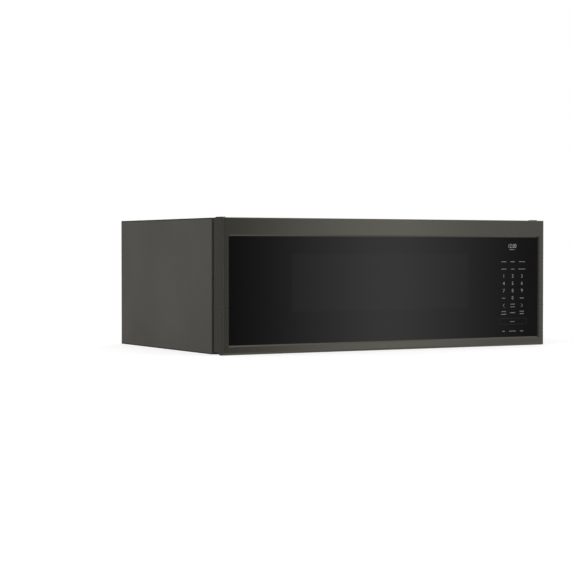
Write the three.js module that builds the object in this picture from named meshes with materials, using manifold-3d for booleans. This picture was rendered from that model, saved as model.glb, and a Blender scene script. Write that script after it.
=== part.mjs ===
// Low-profile over-the-range microwave: a flush full-width glass door, the oven behind it,
// its electrics on the right, and a range hood underneath that blows out at the top rear.
// Millimetres. X runs to the right seen from the front, Y to the back, Z up.
// The origin is under the middle of the case, on the surface it stands on.

import * as THREE from 'three';
import { mergeVertices } from 'three/addons/utils/BufferGeometryUtils.js';
import Module from 'manifold-3d';

// ---------------------------------------------------------------- driving dimensions

const caseWidth = 758.8;
const overallDepth = 469.9;
const caseHeight = 260.4;
const sheet = 1.2; // steel of the case and the oven
const seam = 0.3; // gap between pieces that touch on the real product

// door
const doorThickness = 36.5;
const doorGap = 10; // between the door and the case
const doorWall = 3;
const doorFace = 2.4; // front ring round the glass
const doorRound = 5; // bottom front edge
const doorTopBevel = 1.5;
const doorSideRound = 3; // upright front edges
const doorStile = 14.4; // frame beside the glass
const bottomRail = 18.2;
const topRail = 35.1;
const glassLip = 2.8; // bright bevel round the opening
const glassOverlap = 5; // glass hidden behind the ring
const glassThickness = 4;
const windowWidth = 414;
const windowHeight = 111;
const windowRise = 3.5; // middle of the window above the middle of the oven
const screenOverlap = 4;
const screenThickness = 0.6;
const doorPanelSetback = 14; // from the door's front to the steel panel
const doorPanelThickness = 1;
const backCoverThickness = 4;
const innerWindowOverlap = 14;
const innerWindowThickness = 3;

// hinge at the left
const hingeInset = 12; // pivot from the door's left side and from its back
const hingePinRadius = 3;
const hingePinLength = 10;
const hingePlate = 1.2;
const hingeTongue = 7; // half width of the bottom tongue
const hingeNotch = 4.5; // height of the notch under the door
const bottomTongueHeight = 2.4;
const bottomTongueThickness = 1.8;
const hingeFoot = 27; // width of the screwed foot
const hingeFootHeight = 18;

// controls behind the glass
const keyInset = 77.6; // middle column of the touch keys, from the door's right side
const controlBoardWidth = 80;
const controlBoardMargin = 5.8; // above the glass opening's bottom edge
const controlBoardDrop = 3.3; // below its top edge
const boardThickness = 1.6;
const displayDrop = 19.3; // below the glass opening's top edge
const displayWidth = 34;
const displayTall = 14;
const displayDepth = 9;

// oven
const airDuctWidth = 80; // left of the oven
const compartmentWidth = 124; // electrics, right of the oven
const cavityFloor = 52;
const spaceAboveCavity = 48.4;
const blowerGap = 3; // between the oven's back and the vent blower
const flangeReach = 18; // front flange round the oven's mouth
const flangeGap = 1; // between the flange and the closed door
const frontPlateThickness = 3;
const frontPlateInset = 4; // from the outline of the case

// turntable
const rollerRadius = 8;
const rollerWidth = 8;
const rollerTrackRadius = 102;
const rollerCount = 3;
const axleRadius = 2;
const ringInnerRadius = 86;
const ringOuterRadius = 94;
const ringThickness = 5;
const trayClearance = 17; // between the tray and the oven's front and back
const trayThickness = 5;
const trayRim = 9;
const shaftRadius = 3.5;
const couplerStemRadius = 7;
const couplerReach = 24;
const lobeWidth = 9;
const lobeHeight = 7;
const lugRadius = 5;
const lugHeight = 5;
const lugCircle = 18;
const turntableMotorRadius = 25;
const turntableMotorHeight = 18;
const runningGap = 0.4;

// latch at the right
const hookInset = 31.8; // from the oven's side wall
const hookThickness = 6;
const hookShank = 10;
const hookReach = 30; // behind the door's back
const hookNose = 5;
const hookNoseLength = 6;
const hookTravel = 4;
const lowerHookRise = 45; // above the oven's floor
const hookSpacing = 74;
const latchBarWidth = 12;
const latchBarThickness = 6;
const latchSlotWidth = 11;
const latchBoardWidth = 30;
const latchBoardDepth = 38;
const latchBoardWall = 3;
const plungerRadius = 5;
const plungerLength = 38;
const plungerTravel = 6;
const plungerOffset = 36; // right of the hooks
const plungerDrop = 17; // below the lower hook

// electrics on the right
const transformerSetback = 143.45; // middle of the transformer, from the case's front
const capacitorSpacing = 83; // behind the transformer
const powerBoardSetback = 38.45;
const powerBoardDrop = 27.2; // below the top panel
const powerBoardLength = 120;
const powerBoardHeight = 112;
const filterBoardRise = 20; // above the base
const filterBoardWidth = 90;
const filterBoardHeight = 70;
const latchBoardBelow = 37; // below the lower hook
const latchBoardAbove = 33; // above the upper hook

// hood
const filterGap = 40; // between the two filters
const filterReach = 5.8; // past the oven's side wall
const filterDepth = 150;
const filterThickness = 8;
const filterShift = 7.35; // behind the middle of the base
const filterLift = 1; // above the surface the case stands on
const filterLedge = 4;
const lensWidth = 96;
const lensDepth = 46;
const lensInset = 79.4; // middle of a lamp lens, from the case's side
const lensSetback = 53.45; // and from the case's front
const lensFlange = 4;
const lensThickness = 1.5;
const lampHeight = 18;
const blowerLength = 250;
const blowerRadius = 36.5;
const blowerHeight = 112; // shaft above the base
const blowerWall = 1.5;
const blowerInletRadius = 23;
const wheelRadius = 30;
const wheelWidth = 78;
const wheelStart = 38; // from the middle of the shaft
const wheelBlades = 18;
const blowerShaftRadius = 3;
const blowerMotorRadius = 26;
const blowerMotorLength = 60;
const outletWidth = 254;
const outletDepth = 82.5;
const outletHeight = 38;
const damperHeight = 20; // hinge above the bottom of the outlet
const damperPinRadius = 1.5;

// ---------------------------------------------------------------- places worked out from them

const left = -caseWidth / 2;
const right = caseWidth / 2;
const front = -overallDepth / 2;
const back = overallDepth / 2;
const doorBack = front + doorThickness;
const caseFront = doorBack + doorGap;
const insideLeft = left + sheet;
const insideRight = right - sheet;
const insideBack = back - sheet;
const underTop = caseHeight - sheet;

const pivotX = left + hingeInset;
const pivotY = doorBack - hingeInset;

const glassOpeningWidth = caseWidth - 2 * doorStile;
const glassOpeningBottom = bottomRail;
const glassOpeningTop = caseHeight - topRail;
const glassFront = front + doorFace;
const glassBack = glassFront + glassThickness;
const doorPanelFront = front + doorPanelSetback;
const doorPanelBack = doorPanelFront + doorPanelThickness;
const coverFront = doorBack - backCoverThickness;

const flangeFront = doorBack + flangeGap;
const frontPlateFront = caseFront - frontPlateThickness;
const blowerFront = insideBack - 2 * blowerRadius;
const compartmentLeft = insideRight - compartmentWidth;
const electricsX = (compartmentLeft + insideRight) / 2;
const cavityLeft = insideLeft + airDuctWidth + sheet;
const cavityRight = compartmentLeft - sheet;
const cavityCentre = (cavityLeft + cavityRight) / 2;
const cavityTop = caseHeight - spaceAboveCavity;
const cavityMiddle = (cavityFloor + cavityTop) / 2;
const cavityBack = blowerFront - blowerGap - sheet;
const trayCentreY = (flangeFront + cavityBack) / 2;
const trayRadius = (cavityBack - flangeFront) / 2 - trayClearance;
const windowCentre = cavityMiddle + windowRise;

const keyColumn = right - keyInset;
const controlBoardBottom = glassOpeningBottom + controlBoardMargin;
const controlBoardTop = glassOpeningTop - controlBoardDrop;
const displayHeight = glassOpeningTop - displayDrop;

const rollerHeight = cavityFloor + rollerRadius + seam;
const trayBottom = cavityFloor + 2 * rollerRadius + 2 * seam;

const hookColumn = compartmentLeft + hookInset;
const lowerHook = cavityFloor + lowerHookRise;
const hookHeights = [lowerHook, lowerHook + hookSpacing];
const plungerColumn = hookColumn + plungerOffset;
const plungerHeight = lowerHook - plungerDrop;
const keeperDrop = hookShank / 2 + hookNose + 0.5; // keeper's top below the hook's middle
const barBack = coverFront - seam;

const filterWidth = compartmentLeft + filterReach - filterGap / 2;
const filterColumn = (filterGap + filterWidth) / 2;
const filterRow = (caseFront + insideBack) / 2 + filterShift;
const lensColumn = right - lensInset;
const lensRow = caseFront + lensSetback;

const outletBack = insideBack - seam;
const outletFront = outletBack - outletDepth;
const outletBottom = caseHeight - outletHeight;
const blowerY = insideBack - blowerRadius;

// ---------------------------------------------------------------- solids

const wasm = await Module();
wasm.setup();

function solidFrom(geometry) {
  const bare = geometry.index ? geometry.toNonIndexed() : geometry;
  bare.deleteAttribute('normal');
  bare.deleteAttribute('uv');
  const welded = mergeVertices(bare, 1e-4);
  const mesh = new wasm.Mesh({
    numProp: 3,
    vertProperties: new Float32Array(welded.attributes.position.array),
    triVerts: new Uint32Array(welded.index.array),
  });
  return new wasm.Manifold(mesh);
}

function geometryFrom(solid) {
  const mesh = solid.getMesh();
  const geometry = new THREE.BufferGeometry();
  geometry.setAttribute('position', new THREE.BufferAttribute(mesh.vertProperties, 3));
  geometry.setIndex(new THREE.BufferAttribute(mesh.triVerts, 1));
  geometry.computeVertexNormals();
  return geometry;
}

function join(...solids) {
  return solids.reduce((all, solid) => all.add(solid));
}

function cut(solid, ...cutters) {
  return cutters.reduce((rest, cutter) => rest.subtract(cutter), solid);
}

// A box between two values on each axis.
function block([x0, x1], [y0, y1], [z0, z1]) {
  const geometry = new THREE.BoxGeometry(x1 - x0, y1 - y0, z1 - z0);
  geometry.translate((x0 + x1) / 2, (y0 + y1) / 2, (z0 + z1) / 2);
  return solidFrom(geometry);
}

// A round bar from one value to the other along an axis; the centre gives its other two coordinates.
function bar(axis, radius, [from, to], [x, y, z], sides = 24) {
  const geometry = new THREE.CylinderGeometry(radius, radius, to - from, sides);
  const middle = (from + to) / 2;
  if (axis === 'x') geometry.rotateZ(-Math.PI / 2).translate(middle, y, z);
  if (axis === 'y') geometry.translate(x, middle, z);
  if (axis === 'z') geometry.rotateX(Math.PI / 2).translate(x, y, middle);
  return solidFrom(geometry);
}

// A turned form round Z from [radius, height] points that start and end on the axis.
function turned(points, sides = 64) {
  const profile = points.map(([radius, height]) => new THREE.Vector2(radius, height));
  return solidFrom(new THREE.LatheGeometry(profile, sides).rotateX(Math.PI / 2));
}

// A shape drawn with Y across and Z up, drawn out along X.
function drawnAlongX(shape, [x0, x1], curveSegments = 8) {
  const options = { depth: x1 - x0, bevelEnabled: false, curveSegments };
  const geometry = new THREE.ExtrudeGeometry(shape, options);
  const basis = new THREE.Matrix4().makeBasis(
    new THREE.Vector3(0, 1, 0),
    new THREE.Vector3(0, 0, 1),
    new THREE.Vector3(1, 0, 0),
  );
  geometry.applyMatrix4(basis).translate(x0, 0, 0);
  return solidFrom(geometry);
}

// A block whose front end is larger all round, for an opening with a bevelled edge.
function flaredBlock([x0, x1], [y0, y1], [z0, z1], flare) {
  const geometry = new THREE.BoxGeometry(x1 - x0, y1 - y0, z1 - z0);
  const places = geometry.attributes.position;
  for (let i = 0; i < places.count; i += 1) {
    if (places.getY(i) < 0) {
      places.setX(i, places.getX(i) + Math.sign(places.getX(i)) * flare);
      places.setZ(i, places.getZ(i) + Math.sign(places.getZ(i)) * flare);
    }
  }
  geometry.translate((x0 + x1) / 2, (y0 + y1) / 2, (z0 + z1) / 2);
  return solidFrom(geometry);
}

// Copies of a solid round the Z axis.
function aroundZ(solid, count, start = 0) {
  const copies = [];
  for (let i = 0; i < count; i += 1) {
    copies.push(solid.rotate([0, 0, start + (360 / count) * i]));
  }
  return join(...copies);
}

// ---------------------------------------------------------------- materials

const looks = {
  darkStainless: { color: 0x53514d, roughness: 0.34, metalness: 0.9 },
  caseSteel: { color: 0x504e4a, roughness: 0.4, metalness: 0.8 },
  blackPaint: { color: 0x1c1b1a, roughness: 0.5, metalness: 0.1 },
  blackGlass: { color: 0x0b0b0c, roughness: 0.06, metalness: 0 },
  clearGlass: { color: 0xc9d2d3, roughness: 0.05, metalness: 0 },
  screenSteel: { color: 0x2a2a2b, roughness: 0.5, metalness: 0.6 },
  zincSteel: { color: 0xa4a7a8, roughness: 0.42, metalness: 0.85 },
  ovenEnamel: { color: 0xb9b6ae, roughness: 0.35, metalness: 0.1 },
  blackPlastic: { color: 0x151515, roughness: 0.55, metalness: 0 },
  whitePlastic: { color: 0xe2e0da, roughness: 0.5, metalness: 0 },
  greyPlastic: { color: 0x6f7173, roughness: 0.55, metalness: 0 },
  aluminium: { color: 0xb4b6b8, roughness: 0.4, metalness: 0.9 },
  copperWire: { color: 0x9a4f25, roughness: 0.4, metalness: 0.7 },
  greenBoard: { color: 0x1d4a2c, roughness: 0.5, metalness: 0 },
  mica: { color: 0xa79d86, roughness: 0.7, metalness: 0 },
  charcoal: { color: 0x232323, roughness: 0.95, metalness: 0 },
};

const materials = {};
for (const [name, look] of Object.entries(looks)) {
  materials[name] = new THREE.MeshStandardMaterial({ name, ...look });
}

function piece(name, solid, material, place = [0, 0, 0]) {
  const mesh = new THREE.Mesh(geometryFrom(solid), material.clone());
  mesh.name = name;
  mesh.position.set(...place);
  return mesh;
}

// ---------------------------------------------------------------- case

const flangeWidth = 14; // folded edges of the side panels

function sidePanel(side) {
  const across = (near, far) => (side < 0 ? [left + near, left + far] : [right - far, right - near]);
  const wall = block(across(0, sheet), [caseFront, back], [0, caseHeight]);
  const foldTop = underTop - seam;
  const frontFold = block(across(0, flangeWidth), [caseFront, caseFront + sheet], [sheet + seam, foldTop]);
  const topFold = block(across(0, flangeWidth), [caseFront, insideBack - seam], [foldTop - sheet, foldTop]);
  return join(wall, frontFold, topFold);
}

const glandX = electricsX + 14;
const glandY = insideBack - 28.75;
const glandRadius = 10;
const glandFlange = 13;
const glandBore = 4;
const boltHoleRadius = 5;
const boltColumn = 300;
const boltRow = back - 255;

function topPanel() {
  const plate = block([insideLeft, insideRight], [caseFront, insideBack], [underTop, caseHeight]);
  const outlet = block(
    [-outletWidth / 2 - seam, outletWidth / 2 + seam],
    [outletFront - seam, back],
    [underTop - 1, caseHeight + 1],
  );
  const through = [underTop - 1, caseHeight + 1];
  const gland = bar('z', glandRadius + seam, through, [glandX, glandY, 0]);
  const bolts = [-1, 1].map((side) => bar('z', boltHoleRadius, through, [side * boltColumn, boltRow, 0]));
  return cut(plate, outlet, gland, ...bolts);
}

const wallSlotWidth = 30;
const wallSlotHeight = 5;
const wallSlotColumn = 250;
const wallSlotRow = 12;

function backPanel() {
  const plate = block([insideLeft, insideRight], [insideBack, back], [0, caseHeight]);
  const slots = [-1, 0, 1].map((place) => block(
    [place * wallSlotColumn - wallSlotWidth / 2, place * wallSlotColumn + wallSlotWidth / 2],
    [insideBack - 1, back + 1],
    [wallSlotRow, wallSlotRow + wallSlotHeight],
  ));
  return cut(plate, ...slots);
}

// The seat that stops a grease filter from above.
const filterTop = filterLift + filterThickness;
const filterSeatTop = filterTop + seam + sheet;

// A block round a filter, larger than its running fit by a margin on all four sides.
function aroundFilter(side, margin, span) {
  const halfWidth = filterWidth / 2 + runningGap + margin;
  const halfDepth = filterDepth / 2 + runningGap + margin;
  const centre = side * filterColumn;
  return block(
    [centre - halfWidth, centre + halfWidth],
    [filterRow - halfDepth, filterRow + halfDepth],
    span,
  );
}

function filterSeat(side) {
  return aroundFilter(side, sheet, [0, filterSeatTop]);
}

function filterOpening(side) {
  const pocket = aroundFilter(side, 0, [-1, filterTop + seam]);
  const above = aroundFilter(side, -filterLedge, [0, filterSeatTop + 1]);
  return join(pocket, above);
}

function lensOpening(side) {
  return block(
    [side * lensColumn - lensWidth / 2 - seam, side * lensColumn + lensWidth / 2 + seam],
    [lensRow - lensDepth / 2 - seam, lensRow + lensDepth / 2 + seam],
    [-1, sheet + 1],
  );
}

function basePan() {
  const plate = block([insideLeft, insideRight], [caseFront, insideBack], [0, sheet]);
  const solid = join(plate, filterSeat(-1), filterSeat(1));
  return cut(solid, filterOpening(-1), filterOpening(1), lensOpening(-1), lensOpening(1));
}

// grille strip above the oven's flange, hidden behind the top of the door
const grilleWidth = caseWidth - 118.8;
const grilleBottom = caseHeight - 26.4;
const grilleHeight = 18;
const grilleDepth = 6;
const grilleColumns = 20;
const grilleRows = 2;
const grilleBar = 3;

function frontGrille() {
  const body = block(
    [-grilleWidth / 2, grilleWidth / 2],
    [caseFront - grilleDepth, caseFront],
    [grilleBottom, grilleBottom + grilleHeight],
  );
  const pitchX = (grilleWidth - grilleBar) / grilleColumns;
  const pitchZ = (grilleHeight - grilleBar) / grilleRows;
  const slots = [];
  for (let column = 0; column < grilleColumns; column += 1) {
    for (let row = 0; row < grilleRows; row += 1) {
      const x = -grilleWidth / 2 + grilleBar + column * pitchX;
      const z = grilleBottom + grilleBar + row * pitchZ;
      slots.push(block(
        [x, x + pitchX - grilleBar],
        [caseFront - grilleDepth - 1, caseFront + 1],
        [z, z + pitchZ - grilleBar],
      ));
    }
  }
  return cut(body, ...slots);
}

function frontPlate() {
  const plate = block(
    [left + frontPlateInset, right - frontPlateInset],
    [frontPlateFront, caseFront],
    [frontPlateInset, caseHeight - frontPlateInset],
  );
  const through = [frontPlateFront - 1, caseFront + 1];
  const cavity = block(
    [cavityLeft - sheet - seam, cavityRight + sheet + seam],
    through,
    [cavityFloor - sheet - seam, cavityTop + sheet + seam],
  );
  const grille = block(
    [-grilleWidth / 2 - seam, grilleWidth / 2 + seam],
    through,
    [grilleBottom - seam, grilleBottom + grilleHeight + seam],
  );
  const hooks = hookHeights.map((height) => block(
    [hookColumn - latchSlotWidth / 2, hookColumn + latchSlotWidth / 2],
    through,
    [height - keeperDrop - hookTravel, height + hookShank / 2 + 2],
  ));
  const plunger = bar('y', plungerRadius + runningGap, through, [plungerColumn, 0, plungerHeight]);
  return cut(plate, cavity, grille, ...hooks, plunger);
}

const charcoalWidth = 330;
const charcoalDepth = 120;
const charcoalThickness = 18;
const charcoalSetback = 6;

function charcoalFilter() {
  return block(
    [cavityCentre - charcoalWidth / 2, cavityCentre + charcoalWidth / 2],
    [caseFront + charcoalSetback, caseFront + charcoalSetback + charcoalDepth],
    [cavityTop + sheet, cavityTop + sheet + charcoalThickness],
  );
}

function cordGland() {
  const lower = 3;
  const solid = turned([
    [0, underTop - lower],
    [glandFlange, underTop - lower],
    [glandFlange, underTop],
    [glandRadius, underTop],
    [glandRadius, caseHeight],
    [glandFlange, caseHeight],
    [glandFlange, caseHeight + hingePlate],
    [0, caseHeight + hingePlate],
  ], 32);
  const bore = bar('z', glandBore, [underTop - lower - 1, caseHeight + hingePlate + 1], [0, 0, 0], 16);
  return cut(solid, bore);
}

// ---------------------------------------------------------------- oven

const guideWidth = 80; // microwave feed in the right wall
const guideHeight = 66;
const guideY = trayCentreY + 60.45;
const guideZ = cavityMiddle + 18;
const ovenLampY = flangeFront + 77.45;
const ovenLampZ = cavityTop - 32;
const ovenLampWindow = 30;
const shaftHole = couplerStemRadius + 1;

function cavityShell() {
  const outer = block(
    [cavityLeft - sheet, cavityRight + sheet],
    [flangeFront, cavityBack + sheet],
    [cavityFloor - sheet, cavityTop + sheet],
  );
  const flange = block(
    [cavityLeft - flangeReach, cavityRight + flangeReach],
    [flangeFront, frontPlateFront],
    [cavityFloor - flangeReach, cavityTop + flangeReach],
  );
  const behindFlange = block(
    [cavityLeft - flangeReach + sheet, cavityRight + flangeReach - sheet],
    [flangeFront + sheet, frontPlateFront + 1],
    [cavityFloor - flangeReach + sheet, cavityTop + flangeReach - sheet],
  );
  const inside = block([cavityLeft, cavityRight], [flangeFront - 1, cavityBack], [cavityFloor, cavityTop]);
  const wallSpan = [cavityRight - 1, cavityRight + sheet + 1];
  const feed = block(
    wallSpan,
    [guideY - guideWidth / 2, guideY + guideWidth / 2],
    [guideZ - guideHeight / 2, guideZ + guideHeight / 2],
  );
  const lamp = block(
    wallSpan,
    [ovenLampY - ovenLampWindow / 2, ovenLampY + ovenLampWindow / 2],
    [ovenLampZ - ovenLampWindow / 2, ovenLampZ + ovenLampWindow / 2],
  );
  const floorSpan = [cavityFloor - sheet - 1, cavityFloor + 1];
  const shaft = bar('z', shaftHole, floorSpan, [cavityCentre, trayCentreY, 0]);
  const shell = join(cut(flange, behindFlange), outer);
  return cut(shell, inside, feed, lamp, shaft);
}

const micaThickness = 0.8;
const micaOverlap = 8;

function waveguideCover() {
  return block(
    [cavityRight - seam - micaThickness, cavityRight - seam],
    [guideY - guideWidth / 2 - micaOverlap, guideY + guideWidth / 2 + micaOverlap],
    [guideZ - guideHeight / 2 - micaOverlap, guideZ + guideHeight / 2 + micaOverlap],
  );
}

function cavityLamp() {
  const half = ovenLampWindow / 2 - seam;
  const lens = block(
    [cavityRight, compartmentLeft],
    [ovenLampY - half, ovenLampY + half],
    [ovenLampZ - half, ovenLampZ + half],
  );
  const housing = block(
    [compartmentLeft, compartmentLeft + 14],
    [ovenLampY - half - 8, ovenLampY + half + 8],
    [ovenLampZ - half - 5, ovenLampZ + half + 5],
  );
  return join(lens, housing);
}

function turntableMotor() {
  const top = cavityFloor - sheet;
  const body = bar('z', turntableMotorRadius, [top - turntableMotorHeight, top], [0, 0, 0], 40);
  const ears = block([-turntableMotorRadius - 10, turntableMotorRadius + 10], [-7, 7], [top - 2, top]);
  const shaft = bar('z', shaftRadius, [top - 1, trayBottom - lobeHeight + 1], [0, 0, 0], 20);
  return join(body, ears, shaft);
}

function turntableCoupler() {
  const lobeTop = trayBottom - seam;
  const lobeBottom = lobeTop - lobeHeight;
  const stem = bar('z', couplerStemRadius, [cavityFloor - sheet + seam, lobeTop], [0, 0, 0], 32);
  const lobe = block([0, couplerReach], [-lobeWidth / 2, lobeWidth / 2], [lobeBottom, lobeTop]);
  const bore = bar('z', shaftRadius + seam, [0, trayBottom - lobeHeight + 1 + seam], [0, 0, 0], 20);
  return cut(join(stem, aroundZ(lobe, 3)), bore);
}

// The tray's own origin is on its axis, at the height of its underside.
function glassTray() {
  const dish = turned([
    [0, 0],
    [trayRadius - 14, 0],
    [trayRadius - 2, trayRim - 2],
    [trayRadius, trayRim + 1],
    [trayRadius - 3, trayRim + 3],
    [trayRadius - 16, trayThickness],
    [0, trayThickness],
  ], 72);
  const lug = bar('z', lugRadius, [-lugHeight, 1], [lugCircle, 0, 0], 16);
  return join(dish, aroundZ(lug, 3, 60));
}

// The ring's own origin is on its axis, at the height of the rollers' middles.
const rollerBore = axleRadius + 0.3;
const rollerOuter = rollerTrackRadius + rollerWidth / 2;

function rollerRing() {
  const ring = turned([
    [ringInnerRadius, -ringThickness / 2],
    [ringOuterRadius, -ringThickness / 2],
    [ringOuterRadius, ringThickness / 2],
    [ringInnerRadius, ringThickness / 2],
    [ringInnerRadius, -ringThickness / 2],
  ], 60);
  const axle = bar('x', axleRadius, [ringOuterRadius - 2, rollerOuter + seam + 1], [0, 0, 0], 16);
  const head = bar('x', axleRadius + 1, [rollerOuter + seam, rollerOuter + seam + 2], [0, 0, 0], 16);
  return join(ring, aroundZ(join(axle, head), rollerCount));
}

function roller() {
  const wheel = bar('x', rollerRadius, [-rollerWidth / 2, rollerWidth / 2], [0, 0, 0], 32);
  const bore = bar('x', rollerBore, [-rollerWidth, rollerWidth], [0, 0, 0], 16);
  return cut(wheel, bore);
}

// ---------------------------------------------------------------- high-voltage side

const guideDepth = 40; // of the waveguide, away from the oven
const magnetronLength = 70;
const magnetronWidth = 86;
const magnetronHeight = 96;
const magnetronFins = 7;
const antennaRadius = 9;
const guideHead = compartmentLeft + guideDepth;

function waveguide() {
  const halfWidth = guideWidth / 2 + 10;
  const halfHeight = guideHeight / 2 + 10;
  const outer = block(
    [compartmentLeft, guideHead],
    [guideY - halfWidth, guideY + halfWidth],
    [guideZ - halfHeight, guideZ + halfHeight],
  );
  const inside = block(
    [compartmentLeft - 1, guideHead - sheet],
    [guideY - halfWidth + sheet, guideY + halfWidth - sheet],
    [guideZ - halfHeight + sheet, guideZ + halfHeight - sheet],
  );
  const antenna = bar('x', antennaRadius + 1, [guideHead - sheet - 1, guideHead + 1], [0, guideY, guideZ]);
  return cut(outer, inside, antenna);
}

function magnetron() {
  const yoke = 3;
  const end = guideHead + magnetronLength;
  const spanY = [guideY - magnetronWidth / 2, guideY + magnetronWidth / 2];
  const spanZ = [guideZ - magnetronHeight / 2, guideZ + magnetronHeight / 2];
  const nearPlate = block([guideHead, guideHead + yoke], spanY, spanZ);
  const farPlate = block([end - yoke, end], spanY, spanZ);
  const sides = [spanZ[0], spanZ[1] - yoke].map((z) => block([guideHead, end], spanY, [z, z + yoke]));
  const core = bar('x', 19, [guideHead, end + 8], [0, guideY, guideZ], 28);
  const antenna = bar('x', antennaRadius, [guideHead - 28, guideHead + 1], [0, guideY, guideZ], 20);
  const fins = [];
  const pitch = (magnetronLength - 2 * yoke) / (magnetronFins + 1);
  for (let i = 1; i <= magnetronFins; i += 1) {
    const x = guideHead + yoke + i * pitch;
    fins.push(block([x - 0.5, x + 0.5], [spanY[0] + 5, spanY[1] - 5], spanZ));
  }
  return join(nearPlate, farPlate, ...sides, core, antenna, ...fins);
}

const transformerX = electricsX + 2;
const transformerY = caseFront + transformerSetback;
const coreWidth = 92;
const coreDepth = 58;
const coreHeight = 76;
const coilReach = 15;

function transformer() {
  const coreX = [transformerX - coreWidth / 2, transformerX + coreWidth / 2];
  const coreY = [transformerY - coreDepth / 2, transformerY + coreDepth / 2];
  const core = block(coreX, coreY, [sheet, sheet + coreHeight]);
  const coil = block(
    [coreX[0] + 14, coreX[1] - 14],
    [coreY[0] - coilReach, coreY[1] + coilReach],
    [sheet + 14, sheet + coreHeight - 14],
  );
  const feet = block([coreX[0] - 6, coreX[1] + 6], coreY, [sheet, sheet + 2]);
  return join(core, coil, feet);
}

const capacitorY = transformerY + capacitorSpacing;
const capacitorWidth = 84;
const capacitorThickness = 34;
const capacitorHeight = 50;

function capacitor() {
  const radius = capacitorThickness / 2;
  const offset = capacitorWidth / 2 - radius;
  const span = [sheet, sheet + capacitorHeight];
  const can = join(
    block([transformerX - offset, transformerX + offset], [capacitorY - radius, capacitorY + radius], span),
    bar('z', radius, span, [transformerX - offset, capacitorY, 0], 32),
    bar('z', radius, span, [transformerX + offset, capacitorY, 0], 32),
  );
  const tabs = [-1, 1].map((side) => block(
    [transformerX + side * 14 - 3, transformerX + side * 14 + 3],
    [capacitorY - 0.4, capacitorY + 0.4],
    [sheet + capacitorHeight - 1, sheet + capacitorHeight + 12],
  ));
  return join(can, ...tabs);
}

const fanX = electricsX;
const fanY = insideBack - 77.75;
const fanZ = guideZ;
const fanFrame = 100;
const fanDepth = 34;
const fanOpening = 45;
const fanHub = 16;
const fanMotorLength = 12;
const fanTip = 43;
const fanBlades = 7;
const fanShaft = 2;

function coolingFanHousing() {
  const frame = block(
    [fanX - fanFrame / 2, fanX + fanFrame / 2],
    [fanY - fanDepth / 2, fanY + fanDepth / 2],
    [fanZ - fanFrame / 2, fanZ + fanFrame / 2],
  );
  const through = [fanY - fanDepth, fanY + fanDepth];
  const opening = bar('y', fanOpening, through, [fanX, 0, fanZ], 48);
  const legs = [-1, 1].map((side) => {
    const edge = fanX + side * (fanFrame / 2);
    return block(
      [Math.min(edge, edge - side * 10), Math.max(edge, edge - side * 10)],
      [fanY - 5, fanY + 5],
      [sheet, fanZ - fanFrame / 2 + 1],
    );
  });
  const rear = [fanY + fanDepth / 2 - fanMotorLength, fanY + fanDepth / 2];
  const motor = bar('y', fanHub, rear, [fanX, 0, fanZ], 28);
  const strutSpan = [rear[1] - 4, rear[1]];
  const struts = join(
    block([fanX - fanOpening - 1, fanX + fanOpening + 1], strutSpan, [fanZ - 2, fanZ + 2]),
    block([fanX - 2, fanX + 2], strutSpan, [fanZ - fanOpening - 1, fanZ + fanOpening + 1]),
  );
  const shaft = bar('y', fanShaft, [fanY - 8, rear[0] + 1], [fanX, 0, fanZ], 12);
  return join(cut(frame, opening), ...legs, motor, struts, shaft);
}

// The impeller's own origin is in the middle of its hub.
function fanImpeller() {
  const halfHub = 8;
  const hub = bar('y', fanHub - 1, [-halfHub, halfHub], [0, 0, 0], 28);
  const blade = block([fanHub - 3, fanTip], [-0.8, 0.8], [-8, 8]).rotate([35, 0, 0]);
  const blades = [];
  for (let i = 0; i < fanBlades; i += 1) {
    blades.push(blade.rotate([0, (360 / fanBlades) * i, 0]));
  }
  const bore = bar('y', fanShaft + seam, [-halfHub - 1, halfHub + 1], [0, 0, 0], 12);
  return cut(join(hub, ...blades), bore);
}

// ---------------------------------------------------------------- electrics

const postRadius = 3;
const boardStandOff = 8;
const solder = 0.5; // how far a board's pieces sink into it
const postInset = 8;

const relayCount = 3;
const relay = { start: 10, pitch: 26, width: 20, bottom: 12, height: 26, depth: 18 };
const standbySupply = { start: 80, width: 30, bottom: 55, height: 30, depth: 26 };
const smoothing = { across: 40, up: 70, radius: 8, depth: 24 };

// Power board on the right side panel, with three relays, a standby supply and a smoothing capacitor.
function powerBoard() {
  const boardX = [insideRight - boardStandOff - boardThickness, insideRight - boardStandOff];
  const start = caseFront + powerBoardSetback;
  const top = underTop - powerBoardDrop;
  const spanY = [start, start + powerBoardLength];
  const spanZ = [top - powerBoardHeight, top];
  const board = block(boardX, spanY, spanZ);
  const posts = [spanY[0] + postInset, spanY[1] - postInset].flatMap(
    (y) => [spanZ[0] + postInset, spanZ[1] - postInset].map(
      (z) => bar('x', postRadius, [boardX[1] - solder, insideRight], [0, y, z], 12),
    ),
  );
  const onBoard = (depth) => [boardX[0] - depth, boardX[0] + solder];
  const boxOnBoard = (part, offset) => block(
    onBoard(part.depth),
    [start + part.start + offset, start + part.start + offset + part.width],
    [spanZ[0] + part.bottom, spanZ[0] + part.bottom + part.height],
  );
  const relays = [];
  for (let i = 0; i < relayCount; i += 1) {
    relays.push(boxOnBoard(relay, i * relay.pitch));
  }
  const can = [0, start + smoothing.across, spanZ[0] + smoothing.up];
  const capacitorCan = bar('x', smoothing.radius, onBoard(smoothing.depth), can, 16);
  return join(board, ...posts, ...relays, boxOnBoard(standbySupply, 0), capacitorCan);
}

const choke = { across: 24, up: 30, radius: 13, depth: 20 };
const fuse = { start: 50, width: 28, bottom: 20, height: 8, depth: 9 };
const filmCapacitor = { start: 50, width: 28, bottom: 38, height: 18, depth: 16 };

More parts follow.
